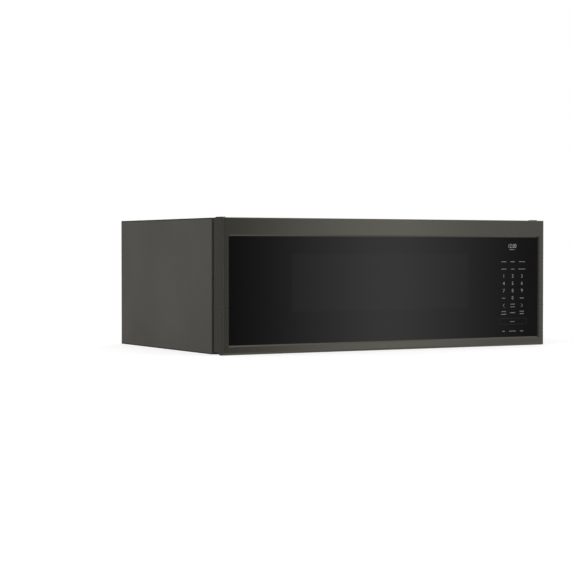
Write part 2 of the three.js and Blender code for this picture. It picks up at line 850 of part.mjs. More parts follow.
// Noise filter board on the back panel, with its choke, fuse and film capacitor.
function noiseFilterBoard() {
  const boardY = [insideBack - boardStandOff - boardThickness, insideBack - boardStandOff];
  const start = electricsX - filterBoardWidth / 2;
  const bottom = sheet + filterBoardRise;
  const spanX = [start, start + filterBoardWidth];
  const spanZ = [bottom, bottom + filterBoardHeight];
  const board = block(spanX, boardY, spanZ);
  const posts = [spanX[0] + postInset, spanX[1] - postInset].flatMap(
    (x) => [spanZ[0] + postInset, spanZ[1] - postInset].map(
      (z) => bar('y', postRadius, [boardY[1] - solder, insideBack], [x, 0, z], 12),
    ),
  );
  const onBoard = (depth) => [boardY[0] - depth, boardY[0] + solder];
  const boxes = [fuse, filmCapacitor].map((part) => block(
    [start + part.start, start + part.start + part.width],
    onBoard(part.depth),
    [bottom + part.bottom, bottom + part.bottom + part.height],
  ));
  const coil = bar('y', choke.radius, onBoard(choke.depth), [start + choke.across, 0, bottom + choke.up], 20);
  return join(board, ...posts, coil, ...boxes);
}

// ---------------------------------------------------------------- latch side of the case

const latchBoardLeft = hookColumn - latchBoardWidth / 2 - latchBoardWall;
const latchBoardBottom = lowerHook - latchBoardBelow;
const latchBoardTop = lowerHook + hookSpacing + latchBoardAbove;

function latchBoard() {
  const spanZ = [latchBoardBottom, latchBoardTop];
  const frontWall = block(
    [latchBoardLeft, hookColumn + latchBoardWidth / 2],
    [caseFront, caseFront + latchBoardWall],
    spanZ,
  );
  const sideWall = block(
    [latchBoardLeft, latchBoardLeft + latchBoardWall],
    [caseFront, caseFront + latchBoardDepth],
    spanZ,
  );
  const slotX = [hookColumn - latchSlotWidth / 2, hookColumn + latchSlotWidth / 2];
  const keeperBack = doorBack + hookReach - hookNoseLength - 0.6;
  const keepers = hookHeights.map((height) => block(
    [slotX[0] - 2, slotX[1] + 2],
    [caseFront, keeperBack],
    [height - keeperDrop - 10, height - keeperDrop],
  ));
  const slots = hookHeights.map((height) => block(
    slotX,
    [caseFront - 1, caseFront + latchBoardDepth],
    [height - keeperDrop, height + hookShank / 2 + 2],
  ));
  return cut(join(frontWall, sideWall, ...keepers), ...slots);
}

const switchDepth = 12;

function interlockSwitches() {
  const start = doorBack + hookReach + 1;
  const spanX = [latchBoardLeft + latchBoardWall, hookColumn + hookThickness];
  const heights = [hookHeights[0], (hookHeights[0] + hookHeights[1]) / 2, hookHeights[1]];
  const bodies = heights.map((z) => block(spanX, [start, start + switchDepth], [z - 10, z + 10]));
  const strip = block(spanX, [start + switchDepth - 2, start + switchDepth], [heights[0], heights[2]]);
  return join(strip, ...bodies);
}

const actuatorWidth = 26;
const actuatorDepth = 44;
const actuatorHeight = 34;

function releaseActuator() {
  const body = block(
    [plungerColumn - actuatorWidth / 2, plungerColumn + actuatorWidth / 2],
    [caseFront, caseFront + actuatorDepth],
    [plungerHeight - actuatorHeight / 2, plungerHeight + actuatorHeight / 2],
  );
  const boreEnd = doorBack + seam + plungerLength + plungerTravel + 1;
  const place = [plungerColumn, 0, plungerHeight];
  const bore = bar('y', plungerRadius + runningGap, [caseFront - 1, boreEnd], place);
  return cut(body, bore);
}

function releasePlunger() {
  return bar('y', plungerRadius, [0, plungerLength], [0, 0, 0]);
}

// ---------------------------------------------------------------- hood

function lampLens(side) {
  const x = side * lensColumn;
  const window = block(
    [x - lensWidth / 2, x + lensWidth / 2],
    [lensRow - lensDepth / 2, lensRow + lensDepth / 2],
    [0.2, sheet],
  );
  const flange = block(
    [x - lensWidth / 2 - lensFlange, x + lensWidth / 2 + lensFlange],
    [lensRow - lensDepth / 2 - lensFlange, lensRow + lensDepth / 2 + lensFlange],
    [sheet, sheet + lensThickness],
  );
  return join(window, flange);
}

function lampHolder(side) {
  const x = side * lensColumn;
  const spanX = [x - lensWidth / 2 - lensFlange, x + lensWidth / 2 + lensFlange];
  const spanY = [lensRow - lensDepth / 2 - lensFlange, lensRow + lensDepth / 2 + lensFlange];
  const bottom = sheet + lensThickness;
  const outer = block(spanX, spanY, [bottom, bottom + lampHeight]);
  const inside = block(
    [spanX[0] + 2, spanX[1] - 2],
    [spanY[0] + 2, spanY[1] - 2],
    [bottom - 1, bottom + lampHeight - 2],
  );
  const emitters = [-1, 1].map((place) => block(
    [x + place * 20 - 4, x + place * 20 + 4],
    [lensRow - 4, lensRow + 4],
    [bottom + lampHeight - 4, bottom + lampHeight - 1.5],
  ));
  return join(cut(outer, inside), ...emitters);
}

// The filter's own origin is in the middle of its underside.
function greaseFilter() {
  const rim = 9;
  const body = block(
    [-filterWidth / 2, filterWidth / 2],
    [-filterDepth / 2, filterDepth / 2],
    [0, filterThickness],
  );
  const recess = (span) => block(
    [-filterWidth / 2 + rim, filterWidth / 2 - rim],
    [-filterDepth / 2 + rim, filterDepth / 2 - rim],
    span,
  );
  const tab = block([-16, 16], [-filterDepth / 2 + 2, -filterDepth / 2 + 22], [0.5, 2.4]);
  const tray = cut(body, recess([-1, 2.4]), recess([filterThickness - 2.4, filterThickness + 1]));
  return join(tray, tab);
}

function blowerProfile(offset) {
  const radius = blowerRadius - offset;
  const shape = new THREE.Shape();
  shape.moveTo(blowerY + radius, outletBottom - seam + offset);
  shape.lineTo(blowerY - radius, outletBottom - seam + offset);
  shape.lineTo(blowerY - radius, blowerHeight);
  shape.absarc(blowerY, blowerHeight, radius, Math.PI, 2 * Math.PI, false);
  return shape;
}

function blowerHousing() {
  const half = blowerLength / 2;
  const outer = drawnAlongX(blowerProfile(0), [-half, half], 20);
  const inside = drawnAlongX(blowerProfile(blowerWall), [-half + blowerWall, half - blowerWall], 20);
  const mouth = block(
    [-half + blowerWall, half - blowerWall],
    [blowerY - blowerRadius + blowerWall, blowerY + blowerRadius - blowerWall],
    [outletBottom - 10, outletBottom + 1],
  );
  const inlets = bar('x', blowerInletRadius, [-half - 1, half + 1], [0, blowerY, blowerHeight], 32);
  const shell = cut(outer, inside, mouth, inlets);
  const saddle = block(
    [-16, 16],
    [blowerY - 12, blowerY + 12],
    [blowerHeight - blowerRadius + 1, blowerHeight - blowerMotorRadius + 1.6],
  );
  const motorSpace = bar('x', blowerMotorRadius + seam, [-40, 40], [0, blowerY, blowerHeight], 40);
  return join(shell, cut(saddle, motorSpace));
}

function blowerMotor() {
  const half = blowerMotorLength / 2;
  const body = bar('x', blowerMotorRadius, [-half, half], [0, blowerY, blowerHeight], 40);
  const bore = bar('x', blowerShaftRadius + seam, [-half - 1, half + 1], [0, blowerY, blowerHeight], 16);
  return cut(body, bore);
}

// Shaft and wheels have their own origin in the middle of the shaft.
function blowerShaft() {
  const reach = wheelStart + 22;
  return bar('x', blowerShaftRadius, [-reach, reach], [0, 0, 0], 16);
}

function blowerWheel(side) {
  const span = (near, far) => (side < 0 ? [-far, -near] : [near, far]);
  const end = wheelStart + wheelWidth;
  const disc = bar('x', wheelRadius - 1, span(wheelStart, wheelStart + 2), [0, 0, 0], 36);
  const hub = bar('x', 7, span(wheelStart, wheelStart + 14), [0, 0, 0], 16);
  const rim = cut(
    bar('x', wheelRadius, span(end - 3, end), [0, 0, 0], 36),
    bar('x', wheelRadius - 4, span(end - 4, end + 1), [0, 0, 0], 36),
  );
  const blade = block(span(wheelStart + 1, end - 1), [-0.6, 0.6], [wheelRadius - 6.5, wheelRadius - 1.2]);
  const blades = [];
  for (let i = 0; i < wheelBlades; i += 1) {
    blades.push(blade.rotate([(360 / wheelBlades) * i, 0, 0]));
  }
  const bore = bar('x', blowerShaftRadius + seam, span(wheelStart - 1, wheelStart + 15), [0, 0, 0], 16);
  return cut(join(disc, hub, rim, ...blades), bore);
}

const outletFlange = 8;
const damperY = outletFront + sheet + 4;
const damperZ = outletBottom + damperHeight;
const damperEdge = 1; // side clearance of the flap

function exhaustOutlet() {
  const half = outletWidth / 2;
  const tube = block([-half, half], [outletFront, outletBack], [outletBottom, caseHeight]);
  const flange = block(
    [-half - outletFlange, half + outletFlange],
    [outletFront - outletFlange, outletBack],
    [underTop - seam - sheet, underTop - seam],
  );
  const inside = block(
    [-half + sheet, half - sheet],
    [outletFront + sheet, outletBack - sheet],
    [outletBottom + sheet, caseHeight + 1],
  );
  const mouth = block(
    [-blowerLength / 2 + blowerWall, blowerLength / 2 - blowerWall],
    [blowerY - blowerRadius + blowerWall, outletBack - sheet],
    [outletBottom - 1, outletBottom + sheet + 1],
  );
  const pins = bar('x', damperPinRadius + seam, [-half - 1, half + 1], [0, damperY, damperZ], 16);
  const ledge = block(
    [-half + sheet - 0.5, half - sheet + 0.5],
    [outletBack - sheet - 4, outletBack - sheet + 0.5],
    [damperZ - 0.5 - seam - 2, damperZ - 0.5 - seam],
  );
  return join(cut(join(tube, flange), inside, mouth, pins), ledge);
}

// The flap's own origin is on its hinge.
function damperFlap() {
  const half = outletWidth / 2 - sheet - damperEdge;
  const reach = outletDepth - 2 * sheet - 4 - damperEdge;
  const flap = block([-half, half], [-1, reach], [-0.5, 0.5]);
  const pin = bar('x', damperPinRadius, [-outletWidth / 2 + 0.2, outletWidth / 2 - 0.2], [0, 0, 0], 16);
  return join(flap, pin);
}

// ---------------------------------------------------------------- hinges

const coverInset = 7; // hinge plate from the door's left side
const coverSetback = 20; // and from its front
const coverEdge = 1.5; // from the pin to the plate's right edge

function hingeBracketTop() {
  const bottom = caseHeight + seam;
  const footBack = frontPlateFront;
  const coverX = [left + coverInset, pivotX + hingePinRadius + coverEdge];
  const footY = [footBack - hingePlate, footBack];
  const cover = block(coverX, [front + coverSetback, footBack], [bottom, bottom + hingePlate]);
  const neck = block(coverX, footY, [caseHeight - 1, bottom + 0.5]);
  const foot = block(
    [left + frontPlateInset, left + frontPlateInset + hingeFoot],
    footY,
    [caseHeight - hingeFootHeight, caseHeight],
  );
  const pin = bar('z', hingePinRadius, [caseHeight - hingePinLength, bottom + 0.5], [pivotX, pivotY, 0], 20);
  return join(cover, neck, foot, pin);
}

function hingeBracketBottom() {
  const span = [bottomTongueHeight, bottomTongueHeight + bottomTongueThickness];
  const footBack = frontPlateFront;
  const tongue = join(
    block([pivotX - hingeTongue, pivotX + hingeTongue], [pivotY, footBack], span),
    bar('z', hingeTongue, span, [pivotX, pivotY, 0], 28),
  );
  const foot = block(
    [left + frontPlateInset, left + frontPlateInset + hingeFoot],
    [footBack - hingePlate, footBack],
    [bottomTongueHeight, hingeFootHeight],
  );
  const pin = bar('z', hingePinRadius, [span[1] - 0.5, hingeNotch + hingePinLength], [pivotX, pivotY, 0], 20);
  return join(tongue, foot, pin);
}

// ---------------------------------------------------------------- door

// Room under the door's hinge corner for the tongue as the door swings.
function tongueNotch() {
  return block(
    [left - 1, pivotX + hingeTongue + 1],
    [pivotY - hingeTongue - 3, doorBack + 1],
    [-1, hingeNotch],
  );
}

function doorOutline() {
  const shape = new THREE.Shape();
  shape.moveTo(doorBack, 0);
  shape.lineTo(doorBack, caseHeight);
  shape.lineTo(front + doorTopBevel, caseHeight);
  shape.lineTo(front, caseHeight - doorTopBevel);
  shape.lineTo(front, doorRound);
  shape.absarc(front + doorRound, doorRound, doorRound, Math.PI, 1.5 * Math.PI, false);
  return shape;
}

// What the rounding of an upright front edge takes off the door.
function sideRounding(side) {
  const through = [-1, caseHeight + 1];
  const edge = side * (caseWidth / 2 - doorSideRound);
  const across = [Math.min(edge, side * (caseWidth / 2 + 1)), Math.max(edge, side * (caseWidth / 2 + 1))];
  const corner = block(across, [front - 1, front + doorSideRound], through);
  return cut(corner, bar('z', doorSideRound, through, [edge, front + doorSideRound, 0], 32));
}

function doorFrame() {
  const outline = drawnAlongX(doorOutline(), [left, right], 6);
  const body = cut(outline, sideRounding(-1), sideRounding(1));
  const inside = block(
    [left + doorWall, right - doorWall],
    [glassFront, doorBack + 1],
    [doorWall, caseHeight - doorWall],
  );
  const opening = flaredBlock(
    [-glassOpeningWidth / 2, glassOpeningWidth / 2],
    [front, glassFront],
    [glassOpeningBottom, glassOpeningTop],
    glassLip,
  );
  const bossX = [left + doorWall - 0.5, pivotX + hingePinRadius + 6];
  const bossY = [doorPanelBack + seam, coverFront - seam];
  const bosses = join(
    block(bossX, bossY, [doorWall - 0.5, hingeNotch + hingePinLength + 3]),
    block(bossX, bossY, [caseHeight - hingePinLength - 3, caseHeight - doorWall + 0.5]),
  );
  const holeRadius = hingePinRadius + runningGap;
  const pivot = [pivotX, pivotY, 0];
  const pinHoles = join(
    bar('z', holeRadius, [-1, hingeNotch + hingePinLength + 1], pivot),
    bar('z', holeRadius, [caseHeight - hingePinLength - 1, caseHeight + 1], pivot),
  );
  return cut(join(cut(body, inside, opening), bosses), pinHoles, tongueNotch());
}

function doorGlass() {
  return block(
    [-glassOpeningWidth / 2 - glassOverlap, glassOpeningWidth / 2 + glassOverlap],
    [glassFront, glassBack],
    [glassOpeningBottom - glassOverlap, glassOpeningTop + glassOverlap],
  );
}

function windowSpan(margin) {
  const halfWidth = windowWidth / 2 + margin;
  const halfHeight = windowHeight / 2 + margin;
  return {
    x: [cavityCentre - halfWidth, cavityCentre + halfWidth],
    z: [windowCentre - halfHeight, windowCentre + halfHeight],
  };
}

const chokeInset = 2; // choke wall inside the outline of the oven's flange

function doorPanel() {
  const plate = block(
    [left + doorWall + seam, right - doorWall - seam],
    [doorPanelFront, doorPanelBack],
    [doorWall + seam, caseHeight - doorWall - seam],
  );
  const chokeX = [cavityLeft - flangeReach + chokeInset, cavityRight + flangeReach - chokeInset];
  const chokeZ = [cavityFloor - flangeReach + chokeInset, cavityTop + flangeReach - chokeInset];
  const choke = cut(
    block(chokeX, [doorPanelFront, coverFront - seam], chokeZ),
    block([chokeX[0] + 1, chokeX[1] - 1], [doorPanelBack, coverFront], [chokeZ[0] + 1, chokeZ[1] - 1]),
  );
  const view = windowSpan(0);
  const opening = block(view.x, [doorPanelFront - 1, doorPanelBack + 1], view.z);
  return cut(join(plate, choke), opening);
}

function windowScreen() {
  const span = windowSpan(screenOverlap);
  return block(span.x, [doorPanelFront - screenThickness, doorPanelFront], span.z);
}

function innerWindow() {
  const span = windowSpan(innerWindowOverlap);
  return block(span.x, [coverFront - innerWindowThickness, coverFront], span.z);
}

function doorBackCover() {
  const plate = block(
    [left + doorWall + seam, right - doorWall - seam],
    [coverFront, doorBack],
    [doorWall + seam, caseHeight - doorWall - seam],
  );
  const view = windowSpan(0);
  const window = block(view.x, [coverFront - 1, doorBack + 1], view.z);
  const slots = hookHeights.map((height) => block(
    [hookColumn - hookThickness / 2 - 1, hookColumn + hookThickness / 2 + 1],
    [coverFront - 1, doorBack + 1],
    [height - hookShank / 2 - hookNose - hookTravel - 1, height + hookShank / 2 + 1],
  ));
  const rails = hookHeights.flatMap((height) => [-1, 1].map((side) => {
    const near = hookColumn + side * (latchBarWidth / 2 + runningGap);
    const far = near + side * 3;
    return block(
      [Math.min(near, far), Math.max(near, far)],
      [barBack - latchBarThickness, coverFront + 0.5],
      [height - 30, height - 16],
    );
  }));
  return cut(join(plate, ...rails), window, ...slots, tongueNotch());
}

function latchHooks() {
  const barSpan = [hookHeights[0] - 34, hookHeights[1] + 16];
  const strip = block(
    [hookColumn - latchBarWidth / 2, hookColumn + latchBarWidth / 2],
    [barBack - latchBarThickness, barBack],
    barSpan,
  );
  const spanX = [hookColumn - hookThickness / 2, hookColumn + hookThickness / 2];
  const tip = doorBack + hookReach;
  const hooks = hookHeights.flatMap((height) => [
    block(spanX, [barBack - 1, tip], [height - hookShank / 2, height + hookShank / 2]),
    block(spanX, [tip - hookNoseLength, tip], [height - hookShank / 2 - hookNose, height]),
  ]);
  return join(strip, ...hooks);
}

function controlBoard() {
  const board = block(
    [keyColumn - controlBoardWidth / 2, keyColumn + controlBoardWidth / 2],
    [glassBack, glassBack + boardThickness],
    [controlBoardBottom, controlBoardTop],
  );
  const display = block(
    [keyColumn - displayWidth / 2 - seam, keyColumn + displayWidth / 2 + seam],
    [glassBack - 1, glassBack + boardThickness + 1],
    [displayHeight - displayTall / 2 - seam, displayHeight + displayTall / 2 + seam],
  );
  return cut(board, display);
}

function displayModule() {
  const lip = 2;
  const body = block(
    [keyColumn - displayWidth / 2, keyColumn + displayWidth / 2],
    [glassBack, glassBack + boardThickness],
    [displayHeight - displayTall / 2, displayHeight + displayTall / 2],
  );
  const rear = block(
    [keyColumn - displayWidth / 2 - lip, keyColumn + displayWidth / 2 + lip],
    [glassBack + boardThickness, glassBack + displayDepth - 3],
    [displayHeight - displayTall / 2 - lip, displayHeight + displayTall / 2 + lip],
  );
  return join(body, rear);
}

const bumperWidth = 15;
const bumperDepth = 10;
const bumperX = right - 21.4;

function doorTopBumper() {
  return block(
    [bumperX - bumperWidth / 2, bumperX + bumperWidth / 2],
    [front + 6, front + 6 + bumperDepth],
    [caseHeight, caseHeight + hingePlate],
  );
}

// ---------------------------------------------------------------- assembly

function caseGroup() {
  const group = new THREE.Group();
  group.add(
    piece('side_panel_left', sidePanel(-1), materials.caseSteel),
    piece('side_panel_right', sidePanel(1), materials.caseSteel),
    piece('top_panel', topPanel(), materials.zincSteel),
    piece('back_panel', backPanel(), materials.zincSteel),
    piece('base_pan', basePan(), materials.caseSteel),
    piece('front_plate', frontPlate(), materials.blackPaint),
    piece('front_vent_grille', frontGrille(), materials.blackPlastic),
    piece('charcoal_filter', charcoalFilter(), materials.charcoal),
    piece('cord_gland', cordGland(), materials.blackPlastic, [glandX, glandY, 0]),
    piece('hinge_bracket_top', hingeBracketTop(), materials.blackPaint),
    piece('hinge_bracket_bottom', hingeBracketBottom(), materials.blackPaint),
  );
  return group;
}

function ovenGroup() {
  const group = new THREE.Group();
  group.add(
    piece('cavity_shell', cavityShell(), materials.ovenEnamel),
    piece('waveguide_cover', waveguideCover(), materials.mica),
    piece('cavity_lamp', cavityLamp(), materials.whitePlastic),
    turntableGroup(),
  );
  return group;
}

function turntableGroup() {
  const group = new THREE.Group();
  group.position.set(cavityCentre, trayCentreY, 0);
  group.add(
    piece('turntable_motor', turntableMotor(), materials.zincSteel),
    piece('turntable_coupler', turntableCoupler(), materials.whitePlastic),
    piece('glass_tray', glassTray(), materials.clearGlass, [0, 0, trayBottom]),
  );
  const ring = new THREE.Group();
  ring.position.z = rollerHeight;
  ring.add(piece('roller_ring', rollerRing(), materials.whitePlastic));
  for (let i = 0; i < rollerCount; i += 1) {
    const angle = (2 * Math.PI * i) / rollerCount;
    const wheel = piece(`roller_${i + 1}`, roller(), materials.whitePlastic);
    wheel.position.set(rollerTrackRadius * Math.cos(angle), rollerTrackRadius * Math.sin(angle), 0);
    wheel.rotation.z = angle;
    ring.add(wheel);
  }
  group.add(ring);
  return group;
}

function electricsGroup() {
  const group = new THREE.Group();
  const plungerPlace = [plungerColumn, doorBack + seam, plungerHeight];
  group.add(
    piece('waveguide', waveguide(), materials.zincSteel),
    piece('magnetron', magnetron(), materials.aluminium),
    piece('transformer', transformer(), materials.copperWire),
    piece('capacitor', capacitor(), materials.aluminium),
    piece('cooling_fan_housing', coolingFanHousing(), materials.blackPlastic),
    piece('cooling_fan_impeller', fanImpeller(), materials.greyPlastic, [fanX, fanY - 6, fanZ]),
    piece('power_board', powerBoard(), materials.greenBoard),
    piece('noise_filter_board', noiseFilterBoard(), materials.greenBoard),
    piece('latch_board', latchBoard(), materials.whitePlastic),
    piece('interlock_switches', interlockSwitches(), materials.greyPlastic),
    piece('release_actuator', releaseActuator(), materials.greyPlastic),
    piece('release_plunger', releasePlunger(), materials.whitePlastic, plungerPlace),
  );
  return group;
}

function hoodGroup() {
  const group = new THREE.Group();
  const filterPlace = (side) => [side * filterColumn, filterRow, filterLift];
  group.add(
    piece('lamp_lens_left', lampLens(-1), materials.whitePlastic),
    piece('lamp_lens_right', lampLens(1), materials.whitePlastic),
    piece('lamp_holder_left', lampHolder(-1), materials.zincSteel),
    piece('lamp_holder_right', lampHolder(1), materials.zincSteel),
    piece('grease_filter_left', greaseFilter(), materials.aluminium, filterPlace(-1)),
    piece('grease_filter_right', greaseFilter(), materials.aluminium, filterPlace(1)),
    piece('blower_housing', blowerHousing(), materials.zincSteel),
    piece('blower_motor', blowerMotor(), materials.zincSteel),
    piece('exhaust_outlet', exhaustOutlet(), materials.zincSteel),
    piece('damper_flap', damperFlap(), materials.aluminium, [0, damperY, damperZ]),
  );
  const rotor = new THREE.Group();
  rotor.position.set(0, blowerY, blowerHeight);
  rotor.add(
    piece('blower_shaft', blowerShaft(), materials.zincSteel),
    piece('blower_wheel_left', blowerWheel(-1), materials.greyPlastic),
    piece('blower_wheel_right', blowerWheel(1), materials.greyPlastic),
  );
  group.add(rotor);
  return group;
}

function doorGroup() {
  const group = new THREE.Group();
  group.add(
    piece('door_frame', doorFrame(), materials.darkStainless),
    piece('door_glass', doorGlass(), materials.blackGlass),
    piece('window_screen', windowScreen(), materials.screenSteel),
    piece('door_panel', doorPanel(), materials.zincSteel),
    piece('inner_window', innerWindow(), materials.clearGlass),
    piece('door_back_cover', doorBackCover(), materials.blackPlastic),
    piece('latch_hooks', latchHooks(), materials.whitePlastic),
    piece('control_board', controlBoard(), materials.greenBoard),
    piece('display_module', displayModule(), materials.blackPlastic),
    piece('door_top_bumper', doorTopBumper(), materials.blackPlastic),
  );
  return group;
}

const microwave = new THREE.Group();
microwave.add(caseGroup(), ovenGroup(), electricsGroup(), hoodGroup(), doorGroup());

export default microwave;
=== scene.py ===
# Looks for the over-the-range microwave: black glass flush in a dark stainless door,
# with the oven, the hood and their electrics behind it, on a pale studio floor.
# Sizes and places are in millimetres, unless a note says metres.
import math
import bmesh
import bpy
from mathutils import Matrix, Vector


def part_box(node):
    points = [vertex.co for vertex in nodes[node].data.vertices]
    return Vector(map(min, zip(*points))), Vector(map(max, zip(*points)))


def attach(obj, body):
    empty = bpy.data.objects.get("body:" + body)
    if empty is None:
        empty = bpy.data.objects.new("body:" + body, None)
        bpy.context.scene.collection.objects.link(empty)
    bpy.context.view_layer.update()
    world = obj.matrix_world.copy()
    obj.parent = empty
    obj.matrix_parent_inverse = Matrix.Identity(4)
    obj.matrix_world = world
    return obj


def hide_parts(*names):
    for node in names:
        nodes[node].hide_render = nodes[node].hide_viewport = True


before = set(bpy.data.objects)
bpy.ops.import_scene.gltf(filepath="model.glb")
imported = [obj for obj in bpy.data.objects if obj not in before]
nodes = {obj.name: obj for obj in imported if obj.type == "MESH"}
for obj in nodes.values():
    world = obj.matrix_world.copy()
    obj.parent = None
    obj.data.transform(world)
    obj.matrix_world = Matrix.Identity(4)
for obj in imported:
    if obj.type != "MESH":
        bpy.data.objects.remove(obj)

scene = bpy.context.scene
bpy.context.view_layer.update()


def hexColour(code):
    parts = [int(code[i:i + 2], 16) / 255 for i in (1, 3, 5)]
    return [p / 12.92 if p <= 0.04045 else ((p + 0.055) / 1.055) ** 2.4 for p in parts] + [1.0]


def perMetre(sizeInMm):
    return 1000 / sizeInMm  # pattern scale for a real size


weldDistance = 0.000005  # metres; joins a CAD node's loose triangles


def add(tree, kind, inputs=None, stops=None, **settings):
    # one node, its settings, and its inputs: a value, or a socket to link from
    node = tree.nodes.new(kind)
    for name, value in settings.items():
        setattr(node, name, value)
    for name, value in (inputs or {}).items():
        if isinstance(value, bpy.types.NodeSocket):
            tree.links.new(value, node.inputs[name])
        else:
            node.inputs[name].default_value = value
    if stops:
        ramp = node.color_ramp.elements
        ramp[0].position, ramp[1].position = stops[0][0], stops[-1][0]
        for place, colour in stops[1:-1]:
            ramp.new(place)
        for element, (place, colour) in zip(ramp, stops):
            element.color = hexColour(colour) if isinstance(colour, str) else (colour, colour, colour, 1)
    return node


def startMaterial(name, **sockets):
    # a Principled surface; the sockets hold what is the same all over it
    material = bpy.data.materials.new(name)
    material.use_nodes = True
    tree = material.node_tree
    tree.nodes.clear()
    values = {key.replace("_", " "): value for key, value in sockets.items()}
    shader = add(tree, "ShaderNodeBsdfPrincipled", values)
    add(tree, "ShaderNodeOutputMaterial", {"Surface": shader.outputs[0]})
    place = add(tree, "ShaderNodeTexCoord").outputs["Object"]
    return material, tree, shader, place


def coat(tree, shader, tone, rough, bump=None):
    # the pattern's colour, roughness and height, led to the surface
    tree.links.new(tone, shader.inputs["Base Color"])
    tree.links.new(rough.outputs[0], shader.inputs["Roughness"])
    if bump:
        tree.links.new(bump.outputs[0], shader.inputs["Normal"])


def selectOnly(*pieces):
    if bpy.context.object and bpy.context.object.mode != "OBJECT":
        bpy.ops.object.mode_set(mode="OBJECT")
    bpy.ops.object.select_all(action="DESELECT")
    for piece in pieces:
        piece.select_set(True)
        bpy.context.view_layer.objects.active = piece


def nameIt(name):
    piece = bpy.context.object
    piece.name = name
    piece.data.name = name
    return piece


def addBlock(name, low, high):
    # corners in millimetres
    selectOnly()
    middle = [(a + b) * 0.0005 for a, b in zip(low, high)]
    size = [(b - a) * 0.001 for a, b in zip(low, high)]
    bpy.ops.mesh.primitive_cube_add(size=1, location=middle, scale=size)
    bpy.ops.object.transform_apply(location=True, rotation=True, scale=True)
    return nameIt(name)


def addDisc(name, radius, depth, place, turn=(0, 0, 0), sides=32):
    selectOnly()
    bpy.ops.mesh.primitive_cylinder_add(
        vertices=sides, radius=radius * 0.001, depth=depth * 0.001,
        location=[v * 0.001 for v in place], rotation=turn)
    bpy.ops.object.transform_apply(location=True, rotation=True, scale=True)
    return nameIt(name)


def pick(piece, mode, test):
    # leaves edit mode on, with the faces or edges selected that pass the test
    selectOnly(piece)
    bpy.ops.object.mode_set(mode="EDIT")
    bpy.ops.mesh.select_mode(type=mode)
    bpy.ops.mesh.select_all(action="DESELECT")
    shape = bmesh.from_edit_mesh(piece.data)
    for part in (shape.faces if mode == "FACE" else shape.edges):
        if test(part):
            part.select_set(True)
    bmesh.update_edit_mesh(piece.data)


def bevelEdges(piece, width, segments=2, test=lambda edge: edge.calc_face_angle(0) > 0.5):
    pick(piece, "EDGE", test)
    bpy.ops.mesh.bevel(offset=width * 0.001, segments=segments, affect="EDGES")
    bpy.ops.object.mode_set(mode="OBJECT")


def applyModifier(piece, kind, **settings):
    selectOnly(piece)
    modifier = piece.modifiers.new(kind.title(), kind)
    for name, value in settings.items():
        setattr(modifier, name, value)
    bpy.ops.object.modifier_apply(modifier=modifier.name)


def runsAlongY(edge):
    return abs((edge.verts[0].co - edge.verts[1].co).normalized().y) > 0.9


def openUp(piece, rim):
    # cuts a block open from front to back and leaves a rim
    pick(piece, "FACE", lambda face: abs(face.normal.y) > 0.9)
    bpy.ops.mesh.inset(thickness=rim * 0.001)
    bpy.ops.mesh.bridge_edge_loops()
    bpy.ops.object.mode_set(mode="OBJECT")


def cutAway(piece, cutter):
    applyModifier(piece, "BOOLEAN", operation="DIFFERENCE", object=cutter, solver="EXACT")
    bpy.data.objects.remove(cutter)


def copyTo(source, name, place, turn=(0, 0, 0)):
    # a copy with its own mesh, turned about the origin and then moved, in millimetres
    selectOnly(source)
    bpy.ops.object.duplicate(linked=False)
    piece = nameIt(name)
    piece.rotation_euler = turn
    piece.location = [v * 0.001 for v in place]
    bpy.ops.object.transform_apply(location=True, rotation=True, scale=True)
    return piece


def joinAll(name, pieces):
    selectOnly(*pieces)
    bpy.ops.object.join()
    return nameIt(name)


def dress(piece, material, body, smooth=35):
    piece.data.materials.clear()
    piece.data.materials.append(material)
    selectOnly(piece)
    bpy.ops.object.shade_smooth_by_angle(angle=math.radians(smooth))
    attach(piece, body)
    return piece


def mergedCopy(node, name):
    # a free copy of a CAD node with its loose triangles joined into whole faces
    selectOnly(nodes[node])
    bpy.ops.object.duplicate(linked=False)
    piece = nameIt(name)
    for key in [k for k in piece.keys() if k.startswith("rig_")]:
        del piece[key]
    piece.parent = None
    bpy.ops.mesh.customdata_custom_splitnormals_clear()
    bpy.ops.object.mode_set(mode="EDIT")
    bpy.ops.mesh.select_all(action="SELECT")
    bpy.ops.mesh.remove_doubles(threshold=weldDistance)
    bpy.ops.mesh.dissolve_limited(angle_limit=math.radians(1))
    bpy.ops.object.mode_set(mode="OBJECT")
    return piece


